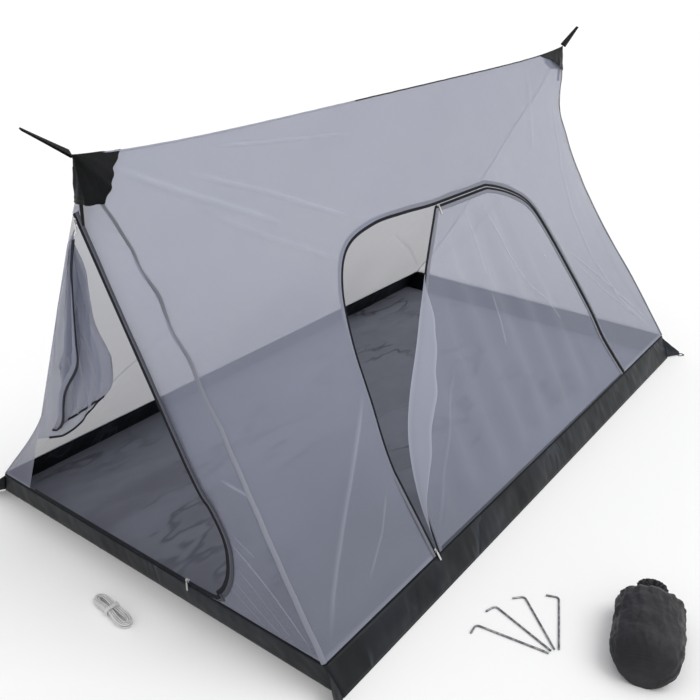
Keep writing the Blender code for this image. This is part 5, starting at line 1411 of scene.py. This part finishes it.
zip_half("side_zip_slope_half", "side_zip_frame", side_line, front_point, 1, "root")
zip_half("side_zip_flap_half", "side_zip_flap", flap_line, flap_surface, 1, "side_door")
end_zip_path = along(end_line, ZIP_STEP)
band_finish = knitted_mesh("zip_band_mesh", "#343644", "#454857", 0.95, 0.97)
zip_half("end_zip_wall_half", "end_zip_frame", end_zip_path, near_point, -1, "root",
         END_TAPE_EDGES, band_finish)
flap_hem = [across[-1] for across in flap_rows]
foot_row = list(reversed(flap_rows[-1][FOOT_TAPE_START:]))
hem_line = flap_hem + foot_row[1:]
hem_beside = [across[-2] for across in flap_rows] + [p + Vector((0, 0.01, 0)) for p in foot_row[1:]]
flap_tape = []
flap_tape_flat = []
for row, (edge, beside) in enumerate(zip(hem_line, hem_beside)):
    inward = (beside - edge).normalized()
    # Along the foot the tape is turned under, so less of its width shows
    for across in FLAP_TAPE_ROWS if row < len(flap_hem) else FOOT_TAPE_ROWS:
        spot = edge + inward * across * MM
        flap_tape.append(near_point(spot.xy, spot.z + FLAP_TAPE_LIFT))
        flap_tape_flat.append((across * MM, row * 0.01))
flap_half = make_piece("end_zip_flap_half_tape", flap_tape, grid_faces(len(hem_line), 4), tape_finish,
                       "end_door", flap_tape_flat, None, TAPE_THICKNESS)
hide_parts("end_zip_flap")
edge_path = along([near_point(p.xy, p.z + FLAP_TAPE_LIFT) for p in hem_line], FLAP_COIL_STEP)
flap_coil = sweep("end_zip_flap_half_coil", edge_path, round_profile(COIL_RADIUS, 6), coil_finish,
                  "end_door")
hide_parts("end_zip_flap")
# Each piece of the end flap gets a mesh of its own
for piece in (end_net, flap_half, flap_coil):
    tuple(near_point(hinge[0]))
    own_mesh(piece)

# %% [markdown]
# ## Tub
# The floor is polyester coated with polyurethane, which makes it stiff and a little shiny, so it
# keeps sharp creases from being packed. The walls are the same cloth drawn in a darker colour,
# part of it painted shade, turned up 80 mm and sewn to the net under a navy binding tape. At each
# corner the spare cloth is folded into an ear with a webbing loop for a peg. Creases are made as
# real waves in the mesh, and the finer crumple is bump, with painted light and shade that follow it.

# %% Coated cloth finishes
def coated_cloth(name, color, pale, line, roughness, scale, stretch, turn, depth, lit=0.0):
    """Coated polyester: a smooth skin whose tone is painted paler where its crumple rises, and a few
    sharp packing creases in a painted line colour.
    """
    material, tree, shader = start_finish(name, color, roughness, specular_ior_level=0.2)
    crumple = place_noise(tree, scale, 3.0, stretch, 0.55, turn)
    off_line = math_node(tree, "ABSOLUTE", math_node(tree, "SUBTRACT", crumple, 0.5), 0.0)
    patches = ramp(tree, place_noise(tree, 2.6, 2.0), 0.45, 0.62)
    # Crease lines in their own colour: painted shade on the floor, where it is darker, and painted
    # highlight on the walls, where it is paler
    creases = math_node(tree, "MULTIPLY", ramp(tree, off_line, 0.0, 0.035, 1.0, 0.0), patches)
    # Painted light and shade on the crumple: the tone is paler where it rises and darker where it sinks
    tone = mixed(tree, ramp(tree, crumple, 0.36, 0.66), color, pale)
    # Paler towards the side door, where the most light comes in
    tone = mixed(tree, ramp(tree, own_place(tree, "X"), -0.6, 0.1, 0.0, lit), tone, "#a4a7b4")
    colour_by(tree, shader, mixed(tree, creases, tone, line))
    height = math_node(tree, "SUBTRACT", crumple, math_node(tree, "MULTIPLY", creases, 0.12))
    raise_surface(tree, shader, height, depth, 0.8)
    return material


floor_finish = coated_cloth("coated_polyester_floor", "#6a6c77", "#767985", "#5a5c66", 0.5, 2.2,
                            (1.0, 3.0, 1.0), (0.0, 0.0, 0.45), 8 * MM, 0.28)
# The walls are drawn much darker than the same cloth on the floor: part of that is painted shade
wall_finish = coated_cloth("coated_polyester_wall", "#0b0e11", "#1b1f25", "#2b3038", 0.42, 5.0,
                           (1.0, 1.0, 0.25), (0.6, 0.8, 0.0), 25 * MM)
binding_finish = woven_tape("grosgrain_binding", "#0c0d16", "#1e202c", 0.75, TWILL_PITCH,
                             0.25 * MM)

# %% Floor
FLOOR_TOP = 2.0 * MM
FLOOR_STEP = 0.016
FLOOR_RIM = 0.10
FLOOR_WRINKLES = ((0.35, 2.2, 5.0, 1.0), (1.25, 3.0, 4.0, 4.0), (2.3, 5.0, 2.5, 9.0),
                  (2.9, 7.0, 2.0, 14.0))
floor_low, floor_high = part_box("groundsheet")


def wrinkle(x, y):
    """Height of the floor's wrinkles: long packing creases and short puckers."""
    height = 0.0
    for turn, scale, size, seed in FLOOR_WRINKLES:
        across = x * math.cos(turn) + y * math.sin(turn)
        on = y * math.cos(turn) - x * math.sin(turn)
        value = noise.noise(Vector((across * scale * 2.2, on * scale * 0.45, seed)))
        height += size * MM * (1 - abs(value) * 2.4)**3 if abs(value) < 0.4 else 0.0
    return height


floor_points = []
floor_flat = []
floor_columns = int((floor_high[0] - floor_low[0]) / FLOOR_STEP) + 1
floor_rows = int((floor_high[1] - floor_low[1]) / FLOOR_STEP) + 1
for i in range(floor_rows + 1):
    for k in range(floor_columns + 1):
        x = floor_low[0] + (floor_high[0] - floor_low[0]) * k / floor_columns
        y = floor_low[1] + (floor_high[1] - floor_low[1]) * i / floor_rows
        rim = min(x - floor_low[0], floor_high[0] - x, y - floor_low[1], floor_high[1] - y)
        floor_points.append((x, y, FLOOR_TOP / 2 + wrinkle(x, y) * smoothstep(rim / FLOOR_RIM)))
        floor_flat.append((x, y))
floor_cloth = make_piece("groundsheet_cloth", floor_points,
                         grid_faces(floor_rows + 1, floor_columns + 1), floor_finish, "root",
                         floor_flat)
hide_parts("groundsheet")
print("floor:", len(floor_points), "points, highest wrinkle",
      round(max(p[2] for p in floor_points) / MM, 1), "mm")

# %% Tub walls
WALL_ROWS = 8
WALL_STEP = 0.012
WALL_FOLD = 3.5 * MM
WALL_PUCKER = 1.8 * MM
WALL_BELLY = 3 * MM
WALL_THICKNESS = 1.0 * MM


def tub_wall(end_a, side_a, end_b, side_b):
    """One wall: folds slant up it, and its top and foot edges stay on their seams."""
    name = f"tub_wall_{SIDE_NAMES[side_a] if side_a == side_b else END_NAMES[end_a]}"
    foot = [foot_corner(end_a, side_a), foot_corner(end_b, side_b)]
    top = [top_corner(end_a, side_a), top_corner(end_b, side_b)]
    run = foot[1] - foot[0]
    outward = run.cross(top[0] - foot[0]).normalized()
    columns = int(run.length / WALL_STEP)
    points = []
    flat = []
    for row in range(WALL_ROWS + 1):
        up = row / WALL_ROWS
        for column in range(columns + 1):
            share = column / columns
            place = foot[0].lerp(foot[1], share).lerp(top[0].lerp(top[1], share), up)
            on = share * run.length
            slant = noise.noise(Vector((on * 9 - up * 0.9, up * 0.8, run.x + run.y)))
            short = noise.noise(Vector((on * 24 + up * 1.4, up * 1.7, 3.0)))
            held = smoothstep(share * 30) * smoothstep((1 - share) * 30)
            belly = math.sin(math.pi * up)
            puff = (WALL_FOLD * slant + WALL_PUCKER * short) * belly + WALL_BELLY * belly
            points.append(place + outward * puff * held)
            flat.append((on, up * TUB_HEIGHT))
    wall = make_piece(f"{name}_cloth", points, grid_faces(WALL_ROWS + 1, columns + 1), wall_finish,
                      "root", flat, None, WALL_THICKNESS)
    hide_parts(name)


for corners in ((NEAR, FRONT, FAR, FRONT), (FAR, BACK, NEAR, BACK), (NEAR, BACK, NEAR, FRONT),
                (FAR, FRONT, FAR, BACK)):
    tub_wall(*corners)
print("tub walls:", TUB_HEIGHT / MM, "mm high")

# %% [markdown]
# ## Bindings and seams
# The tub's binding is a folded tape, so it has flat sides and a rounded top. The corner seams
# are flat felled seams, four layers of net: too dense to see through, so they read darker than
# the veil over a white ground and paler than it over the dark floor. The front ones are drawn
# 12.5 mm wide at the foot and 7 mm at the top, and the back ones, seen through net, half of that
# or less. They wander a little, as a long bias seam does. The ridge's tape is pale from the near
# end to two fifths of its length, and dark from there on.

# %% Bindings
BINDING_STEP = 0.03
BINDING_CORNER = 6 * MM
BINDING_WANDER = 0.8 * MM
BINDING_WIDTH = 4.0 * MM
BINDING_HEIGHT = 6.0 * MM
SEAM_STEPS = 150
SEAM_START = 0.004
SEAM_LIFT = 0.8 * MM
SEAM_WIDTHS = {(NEAR, FRONT): 10.0 * MM, (NEAR, BACK): 5.0 * MM,
               (FAR, FRONT): 10.0 * MM, (FAR, BACK): 2.5 * MM}
SEAM_THICKNESS = 1.4 * MM
SEAM_WANDER = (2 * MM, 9 * MM)
RIDGE_STEPS = 120
RIDGE_START = 0.066
RIDGE_STOP = 0.12
RIDGE_BARE = 0.41
RIDGE_WANDER = 0.7 * MM
RIDGE_RADIUS = 2.0 * MM


def tub_binding_path():
    path = []
    corners = [top_corner(NEAR, FRONT), top_corner(FAR, FRONT), top_corner(FAR, BACK),
               top_corner(NEAR, BACK)]
    for i, corner in enumerate(corners):
        start, stop = corner, corners[(i + 1) % 4]
        run = (stop - start).normalized() * BINDING_CORNER
        side = along([start + run, stop - run], BINDING_STEP)
        for place in side:
            place.z += BINDING_WANDER * noise.noise(place * 14)
        path += side
    return path


binding = sweep("tub_binding_tape", tub_binding_path(), tape_profile(BINDING_WIDTH, BINDING_HEIGHT),
                binding_finish, "root", up=UP, cyclic=True)
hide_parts("tub_binding")


def seam_tape(end, side):
    """A felled seam on a corner: narrow, dark and wavy at its top, wide and pale at its foot."""
    outward = Vector((end, side, 0.25)).normalized()
    shares = [SEAM_START + (END_TOP_SHARE - SEAM_START) * i / SEAM_STEPS
              for i in range(SEAM_STEPS + 1)]
    path = []
    for share in shares:
        wander = noise.noise(Vector((share * 15, 3.0 * end, 5.0 * side)))
        wander *= SEAM_WANDER[0] + SEAM_WANDER[1] * smoothstep(share * 2 - 0.7)
        sideways = Vector((-side * wander, end * wander, 0))
        path.append(seam_point(end, side, share) + sideways + outward * SEAM_LIFT)
    label = corner_name(end, side)
    hidden = (end, side) == (FAR, BACK)
    profile = tape_profile(SEAM_WIDTHS[end, side], SEAM_THICKNESS)
    tape = sweep(f"felled_seam_{label}", path, profile, seam_finish, "root",
                 up=outward, scale=lambda t: 1.25 - 0.55 * t)
    sides = len(tape.data.vertices) // len(path)
    mark_folds(tape.data, [1 if hidden else 1 - smoothstep(1.6 * share - 0.25)
                           for share in shares for _ in range(sides)])
    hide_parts(f"corner_seam_{label}")


for corner in CORNERS:
    seam_tape(*corner)

ridge_finish = woven_tape("ridge_cord", "#26271f", "#57583f", 0.7, TWILL_PITCH, 0.25 * MM)
ridge_start = peak(NEAR).x + RIDGE_START
ridge_stop = peak(FAR).x - RIDGE_STOP
ridge_path = []
for i in range(RIDGE_STEPS + 1):
    wander = RIDGE_WANDER * noise.noise(Vector((i * 0.4, 0, 0)))
    spot = ridge_point(ridge_start + (ridge_stop - ridge_start) * i / RIDGE_STEPS)
    ridge_path.append(spot + Vector((0, 0, wander)))
bare = int(RIDGE_BARE * RIDGE_STEPS)
for label, part, finish in (("bare", ridge_path[:bare + 1], seam_finish),
                            ("cord", ridge_path[bare:], ridge_finish)):
    ridge = sweep(f"ridge_{label}_cover", part, round_profile(RIDGE_RADIUS), finish, "root",
                  up=UP)
    if label == "bare":
        mark_folds(ridge.data, [1.0] * len(ridge.data.vertices))
    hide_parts("ridge_binding")
print(f"ridge: {reaches(ridge_path)[-1]:.2f} m")

# %% [markdown]
# ## Ears and peg loops
# Each ear is the wall's spare cloth folded flat: a wedge of doubled cloth that narrows to its
# tip, with a soft roll at its fold. The peg loop under it is a band of webbing laid in a ring.

# %% Ears and loops
EAR_TURN = math.radians(28)
EAR_REACH = 0.060
PEG_LOOP_THICKNESS = 2.0 * MM
PEG_LOOP_LENGTH = 0.030
PEG_LOOP_WIDTH = 0.022
PEG_LOOP_BAND = 0.005
PEG_LOOP_STEPS = 40
EAR_COLUMNS = 16
EAR_ROWS = 10
EAR_FOOT_SHARE = 0.045
EAR_TOP_SHARES = (0.90, 0.20)
EAR_THICKNESS = 1.5 * MM
EAR_CREASE = 1.6 * MM
EAR_CURL = 5 * MM
webbing_finish = woven_tape("woven_webbing", "#0c0d0f", "#25272b", 0.8, 2.2 * MM, 0.35 * MM)


def ear(end, side):
    foot = foot_corner(end, side)
    direction = Vector((end * math.cos(EAR_TURN), side * math.sin(EAR_TURN), 0))
    edge = top_corner(end, side) - foot
    normal = edge.cross(direction).normalized()
    columns, rows = EAR_COLUMNS, EAR_ROWS
    start, stop = EAR_TOP_SHARES
    points = []
    flat = []
    for layer in (-1, 1):
        for i in range(columns + 1):
            out = i / columns
            high = start + (stop - start) * out
            for k in range(rows + 1):
                up = EAR_FOOT_SHARE + (high - EAR_FOOT_SHARE) * k / rows
                round_edge = math.sqrt(max(math.sin(math.pi * min(max(k / rows, 0.03), 0.97)), 0.0))
                crease = noise.noise(Vector((out * 3, up * 5, end + 2 * side))) * EAR_CREASE
                thick = (EAR_THICKNESS * (1 - 0.35 * out)) * round_edge
                place = foot + direction * EAR_REACH * out + edge * up
                curl = EAR_CURL * out**2 * side
                points.append(place + normal * (layer * thick + crease) + Vector((0, curl, 0)))
                flat.append((out * EAR_REACH, up * TUB_HEIGHT))
    width = rows + 1
    size = (columns + 1) * width
    faces = grid_faces(columns + 1, width)
    faces += [tuple(size + v for v in reversed(face)) for face in faces]
    for i in range(columns):
        for k in (0, rows):
            a = i * width + k
            b = a + width
            faces.append((a, b, size + b, size + a) if k else (b, a, size + a, size + b))
    for k in range(rows):
        a = columns * width + k
        faces.append((a, a + 1, size + a + 1, size + a))
        faces.append((k + 1, k, size + k, size + k + 1))
    label = corner_name(end, side)
    piece = make_piece(f"ear_cloth_{label}", points, faces, wall_finish, "root", flat)
    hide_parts(f"corner_ear_{label}")
    center = foot + direction * (EAR_REACH + PEG_LOOP_LENGTH / 2 - PEG_LOOP_BAND)
    center.z = PEG_LOOP_THICKNESS / 2
    across = Vector((-direction.y, direction.x, 0))
    loop_path = []
    half_long = (PEG_LOOP_LENGTH - PEG_LOOP_BAND) / 2
    half_wide = (PEG_LOOP_WIDTH - PEG_LOOP_BAND) / 2
    for k in range(PEG_LOOP_STEPS):
        angle = 2 * math.pi * k / PEG_LOOP_STEPS
        loop_path.append(center + direction * half_long * signed_power(math.cos(angle), 0.6)
                         + across * half_wide * signed_power(math.sin(angle), 0.6))
    loop = sweep(f"peg_loop_webbing_{label}", loop_path,
                 tape_profile(PEG_LOOP_BAND, PEG_LOOP_THICKNESS), webbing_finish, "root",
                 up=UP, cyclic=True)
    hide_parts(f"peg_loop_{label}")


for corner in CORNERS:
    ear(*corner)
print("ears reach", EAR_REACH / MM, "mm")

# %% [markdown]
# ## Peak hoods and straps
# Both peaks wear a cap of black coated oxford cloth that takes the pull of the ridge. It is a
# folded cone: one face over each slope, one over the end, with a notch in the rim on each slope
# and a stitched hem. A strap of webbing is sewn to its tip, doubled into a loop for the cord
# that the tent hangs from. Oxford cloth has a coarse basket weave, and its coating gives broad
# grey lights where the folds face the light.

# %% Hoods
HOOD_RIDGE = {NEAR: 0.110, FAR: 0.200}
HOOD_DROP_SHARE = {NEAR: 0.905, FAR: 0.922}
HOOD_NOTCH_SHARE = 0.80
HOOD_WALL_SHARES = {NEAR: 0.60, FAR: 0.42}
HOOD_SLOPE_SHARES = ((0.33, 0.0), (0.67, 0.3))
HOOD_OVER = 3.4 * MM
HOOD_RAYS = 26
HOOD_FACET_STEPS = 8
HOOD_TIP_SHARE = 0.05
HOOD_FOLDS = 11
HOOD_FOLD = 1.4 * MM
HOOD_PUFF = 3.2 * MM
HOOD_HEM = 0.7 * MM
HOOD_THICKNESS = 1.2 * MM
OXFORD_PITCH = 3.0 * MM


def oxford_cloth():
    """Coated oxford: a basket weave in black, with broad soft lights."""
    material, tree, shader = start_finish("coated_oxford_cloth", "#0a0b0e", 0.38,
                                          specular_ior_level=0.12)
    weave = weave_of(tree, cloth_metres(tree), OXFORD_PITCH)
    tone = mixed(tree, ramp(tree, place_noise(tree, 12.0, 4.0), 0.35, 0.75), "#050607", "#0e1015")
    colour_by(tree, shader, tone)
    crumple_with(tree, shader, 30.0, weave, 0.06, 4.0 * MM)
    return material


def hood_ring(end, share):
    """The hood's rim at a share of its length, as corner points from the ridge and round."""
    height = 1 - (1 - HOOD_DROP_SHARE[end]) * share
    reach = end * HOOD_RIDGE[end] * share
    notch = ridge_point(peak(end).x - reach * HOOD_NOTCH_SHARE)
    sides = {}
    for side in (FRONT, BACK):
        seam = seam_point(end, side, height)
        sides[side] = []
        for part, depth_share in HOOD_SLOPE_SHARES:
            point = notch.lerp(seam, part)
            up = (point.z - TUB_HEIGHT) / ridge_rise(point.x) * SLOPE_LENGTH
            sides[side].append(slope_point(side, Vector((point.x, up))).lerp(point, depth_share))
        sides[side].append(seam)
    walls = {side: end_point(end, Vector((seam_point(end, side, height).y * HOOD_WALL_SHARES[end],
                                          height * PEAK_RISE[end]))) for side in (FRONT, BACK)}
    ridge_end = ridge_point(peak(end).x - reach)
    return [ridge_end, *sides[FRONT], walls[FRONT], walls[BACK], *reversed(sides[BACK])]


def hood(end, finish):
    """A hood: rings of cloth between the peak and the rim, pushed out clear of the seams."""
    points = []
    flat = []
    ring_count = None
    for ray in range(HOOD_RAYS + 1):
        share = HOOD_TIP_SHARE + (1 - HOOD_TIP_SHARE) * ray / HOOD_RAYS
        corners = hood_ring(end, share)
        ring = []
        for a, b in zip(corners, corners[1:] + corners[:1]):
            ring += [a.lerp(b, k / HOOD_FACET_STEPS) for k in range(HOOD_FACET_STEPS)]
        ring_count = len(ring)
        middle = Vector((peak(end).x - end * HOOD_RIDGE[end] * share * 0.3, 0,
                         peak(end).z - 0.06 * share))
        for k, point in enumerate(ring):
            around = k / ring_count
            turn = 2 * math.pi * around
            out = (point - middle).normalized()
            fold = math.sin(turn * HOOD_FOLDS + 2.5 * math.sin(5 * share))
            puff = noise.noise(Vector((math.cos(turn) * 1.7, math.sin(turn) * 1.7,
                                       share * 2.2 + end)))
            hem = HOOD_HEM if ray in (HOOD_RAYS - 3, HOOD_RAYS) else 0.0
            push = HOOD_OVER + share * (HOOD_FOLD * fold + HOOD_PUFF * abs(puff)) + hem
            if point.z < peak(end).z - 0.02:
                out = Vector((out.x, out.y, out.z * 0.3)).normalized()
            points.append(point + out * push)
            flat.append((around * 0.36, share * 0.12))
    faces = grid_faces(HOOD_RAYS + 1, ring_count, closed=True)
    tip = peak(end) + Vector((end, 0, 0.6)) * HOOD_OVER * 1.6
    points.append(tip)
    flat.append((0.0, 0.0))
    faces += [((k + 1) % ring_count, k, len(points) - 1) for k in range(ring_count)]
    piece = make_piece(f"{END_NAMES[end]}_hood_cloth", points, faces, finish, "root",
                       flat, None, HOOD_THICKNESS)
    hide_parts(f"{END_NAMES[end]}_peak_hood")
    return piece


hood_finish = oxford_cloth()
for end in (NEAR, FAR):
    cap = hood(end, hood_finish)
    print(cap.name, "has", len(cap.data.vertices), "points")

# %% Straps
STRAP_REACH = {NEAR: 0.100, FAR: 0.120}
STRAP_RISE = 0.062
STRAP_WIDTH = 0.022
STRAP_TIP_SHARE = 0.45
STRAP_THICKNESS = 1.5 * MM
STRAP_OPEN = 0.003
STRAP_TWIST = math.radians(32)
STRAP_START = 0.75 * MM + 0.3 * MM + STRAP_THICKNESS / 2
TAIL_WIDTH = 0.012
TAIL_LENGTH = 0.045
TAIL_LIFT = 2.25 * MM
TAIL_CURL = 3.0 * MM
TAIL_SWAY = 1.5 * MM
TAIL_STEPS = 12
STRAP_STEPS = 24


def hang_strap(end):
    """A loop of webbing, out and back, that narrows to its fold."""
    root = peak(end) + Vector((end, 0, 0.6)) * 2 * HOOD_OVER
    direction = Vector((end * STRAP_REACH[end], 0, STRAP_RISE)).normalized()
    up = Vector((-direction.z * end, 0, abs(direction.x)))
    length = math.hypot(STRAP_REACH[end], STRAP_RISE)
    line = []
    for k in range(STRAP_STEPS + 1):
        share = k / STRAP_STEPS
        opened = STRAP_OPEN / 2 * (1 - 0.85 * share) + STRAP_THICKNESS / 2
        line.append((STRAP_START + (length - STRAP_START) * share, opened, share))
    loop = line + [(s, -h, share) for s, h, share in reversed(line)]
    path = [root + direction * s + up * h for s, h, _ in loop]
    strap = sweep(f"{END_NAMES[end]}_hang_strap_webbing", path,
                  [(b, -a) for a, b in tape_profile(STRAP_WIDTH, STRAP_THICKNESS)],
                  webbing_finish, "root", up=up.cross(direction), cyclic=True)
    sides = len(strap.data.vertices) // len(loop)
    for i, (s, _, share) in enumerate(loop):
        base = root + direction * s
        narrow = 1 - (1 - STRAP_TIP_SHARE) * share
        twist = STRAP_TWIST * (1 - 0.4 * share)
        for vertex in strap.data.vertices[i * sides:(i + 1) * sides]:
            height = (vertex.co - base).dot(up)
            across = (vertex.co.y - base.y) * narrow
            turned = up * (height * math.cos(twist) + across * math.sin(twist))
            turned.y += across * math.cos(twist) - height * math.sin(twist)
            vertex.co = base + turned
    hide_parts(f"{END_NAMES[end]}_hang_strap")


def tail_strap(end):
    """The strap's sewn end: it hangs below the rim with a slight curl."""
    top = HOOD_DROP_SHARE[end] * PEAK_RISE[end] - 0.3 * MM
    path = []
    for k in range(TAIL_STEPS + 1):
        share = k / TAIL_STEPS
        place = Vector((TAIL_SWAY * math.sin(3 * share), top - TAIL_LENGTH * share))
        path.append(end_point(end, place, TAIL_LIFT + TAIL_CURL * share**2))
    tail = sweep(f"{END_NAMES[end]}_tail_strap_webbing", path,
                 tape_profile(TAIL_WIDTH, STRAP_THICKNESS), webbing_finish, "root",
                 up=Vector((end, 0, 0)), scale=lambda t: 1 - 0.25 * t)
    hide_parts(f"{END_NAMES[end]}_tail_strap")


for end in (NEAR, FAR):
    hang_strap(end)
    tail_strap(end)
print("straps:", STRAP_WIDTH / MM, "mm webbing")

# %% [markdown]
# ## Metal
# Sliders and pulls are die-cast zinc plated with nickel, tumbled to a soft shine: pale warm grey
# with blurred reflections and fine scratches. The pegs are bent from spring steel wire with a
# dark phosphate coat, which is almost matt, with bright wear at the points.

# %% Metal finishes
def plated_zinc():
    material, tree, shader = start_finish("nickel_plated_zinc", "#c9c8c6", 0.28, metallic=1.0)
    smear = place_noise(tree, 400.0, 4.0, (1.0, 6.0, 1.0))
    tree.links.new(ramp(tree, smear, 0.3, 0.7, 0.20, 0.38), shader.inputs["Roughness"])
    raise_surface(tree, shader, smear, 0.05 * MM)
    return material


def phosphated_steel():
    material, tree, shader = start_finish("phosphated_spring_steel", "#85868a", 0.36, metallic=1.0)
    patches = place_noise(tree, 90.0, 5.0)
    colour_by(tree, shader, mixed(tree, ramp(tree, patches, 0.4, 0.75), "#6a6b6f", "#b4b4b8"))
    tree.links.new(ramp(tree, patches, 0.3, 0.7, 0.32, 0.5), shader.inputs["Roughness"])
    raise_surface(tree, shader, patches, 0.1 * MM)
    return material


metal = plated_zinc()
steel = phosphated_steel()
zip_metal = [n for n in nodes if n.endswith(("_slider", "_pull"))]
pegs = [n for n in nodes if n.startswith("peg_") and not n.startswith("peg_loop")]
for names, finish in ((zip_metal, metal), (pegs, steel)):
    for name in names:
        nodes[name].data.materials.clear()
        nodes[name].data.materials.append(finish)
print("metal pieces:", zip_metal, pegs)

# %% [markdown]
# ## Studio
# A wide white floor runs out past the horizon. The world is a soft white dome, shown at full
# white to the camera and to reflections, and a little dimmer as light, and one broad soft sun
# gives the folds their direction and the tent its shadow.

# %% Studio
FLOOR_HALF = 60.0
WORLD_LIGHT = 0.80
WORLD_SEEN = 1.0
SUN_STRENGTH = 1.0
SUN_FROM = Vector((0.35, -0.55, 1.0))
SUN_SPREAD = math.radians(40)
paper, _, _ = start_finish("studio_paper", "#fbfbfb", 0.95)
floor_mesh = bpy.data.meshes.new("studio_floor")
floor_mesh.from_pydata([(-FLOOR_HALF, -FLOOR_HALF, 0), (FLOOR_HALF, -FLOOR_HALF, 0),
                        (FLOOR_HALF, FLOOR_HALF, 0), (-FLOOR_HALF, FLOOR_HALF, 0)], [],
                       [(0, 1, 2, 3)])
floor_mesh.materials.append(paper)
studio_floor = bpy.data.objects.new("studio_floor", floor_mesh)
scene_objects.link(studio_floor)
studio_floor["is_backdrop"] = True

world = bpy.data.worlds.new("white_dome")
world.use_nodes = True
sky = world.node_tree
rays = add(sky, "ShaderNodeLightPath").outputs
seen = math_node(sky, "MAXIMUM", rays["Is Camera Ray"], math_node(
    sky, "MAXIMUM", rays["Is Glossy Ray"], rays["Is Transmission Ray"]))
strength = math_node(sky, "MULTIPLY_ADD", seen, WORLD_SEEN - WORLD_LIGHT)
strength.node.inputs[2].default_value = WORLD_LIGHT
dome = sky.nodes["Background"]
dome.inputs["Color"].default_value = (1.0, 1.0, 1.0, 1.0)
sky.links.new(strength, dome.inputs["Strength"])
bpy.context.scene.world = world

sun_data = bpy.data.lights.new("soft_sun", "SUN")
sun_data.energy = SUN_STRENGTH
sun_data.angle = SUN_SPREAD
sun = bpy.data.objects.new("soft_sun", sun_data)
sun.rotation_euler = SUN_FROM.to_track_quat("Z", "Y").to_euler()
scene_objects.link(sun)
sun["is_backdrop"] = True
bpy.context.scene.view_settings.view_transform = "Standard"
print("studio floor", 2 * FLOOR_HALF, "m wide, dome at", WORLD_LIGHT)

# %% Finish
boxes["scene"] = [list(corner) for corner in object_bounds()]
print("scene:", boxes["scene"])
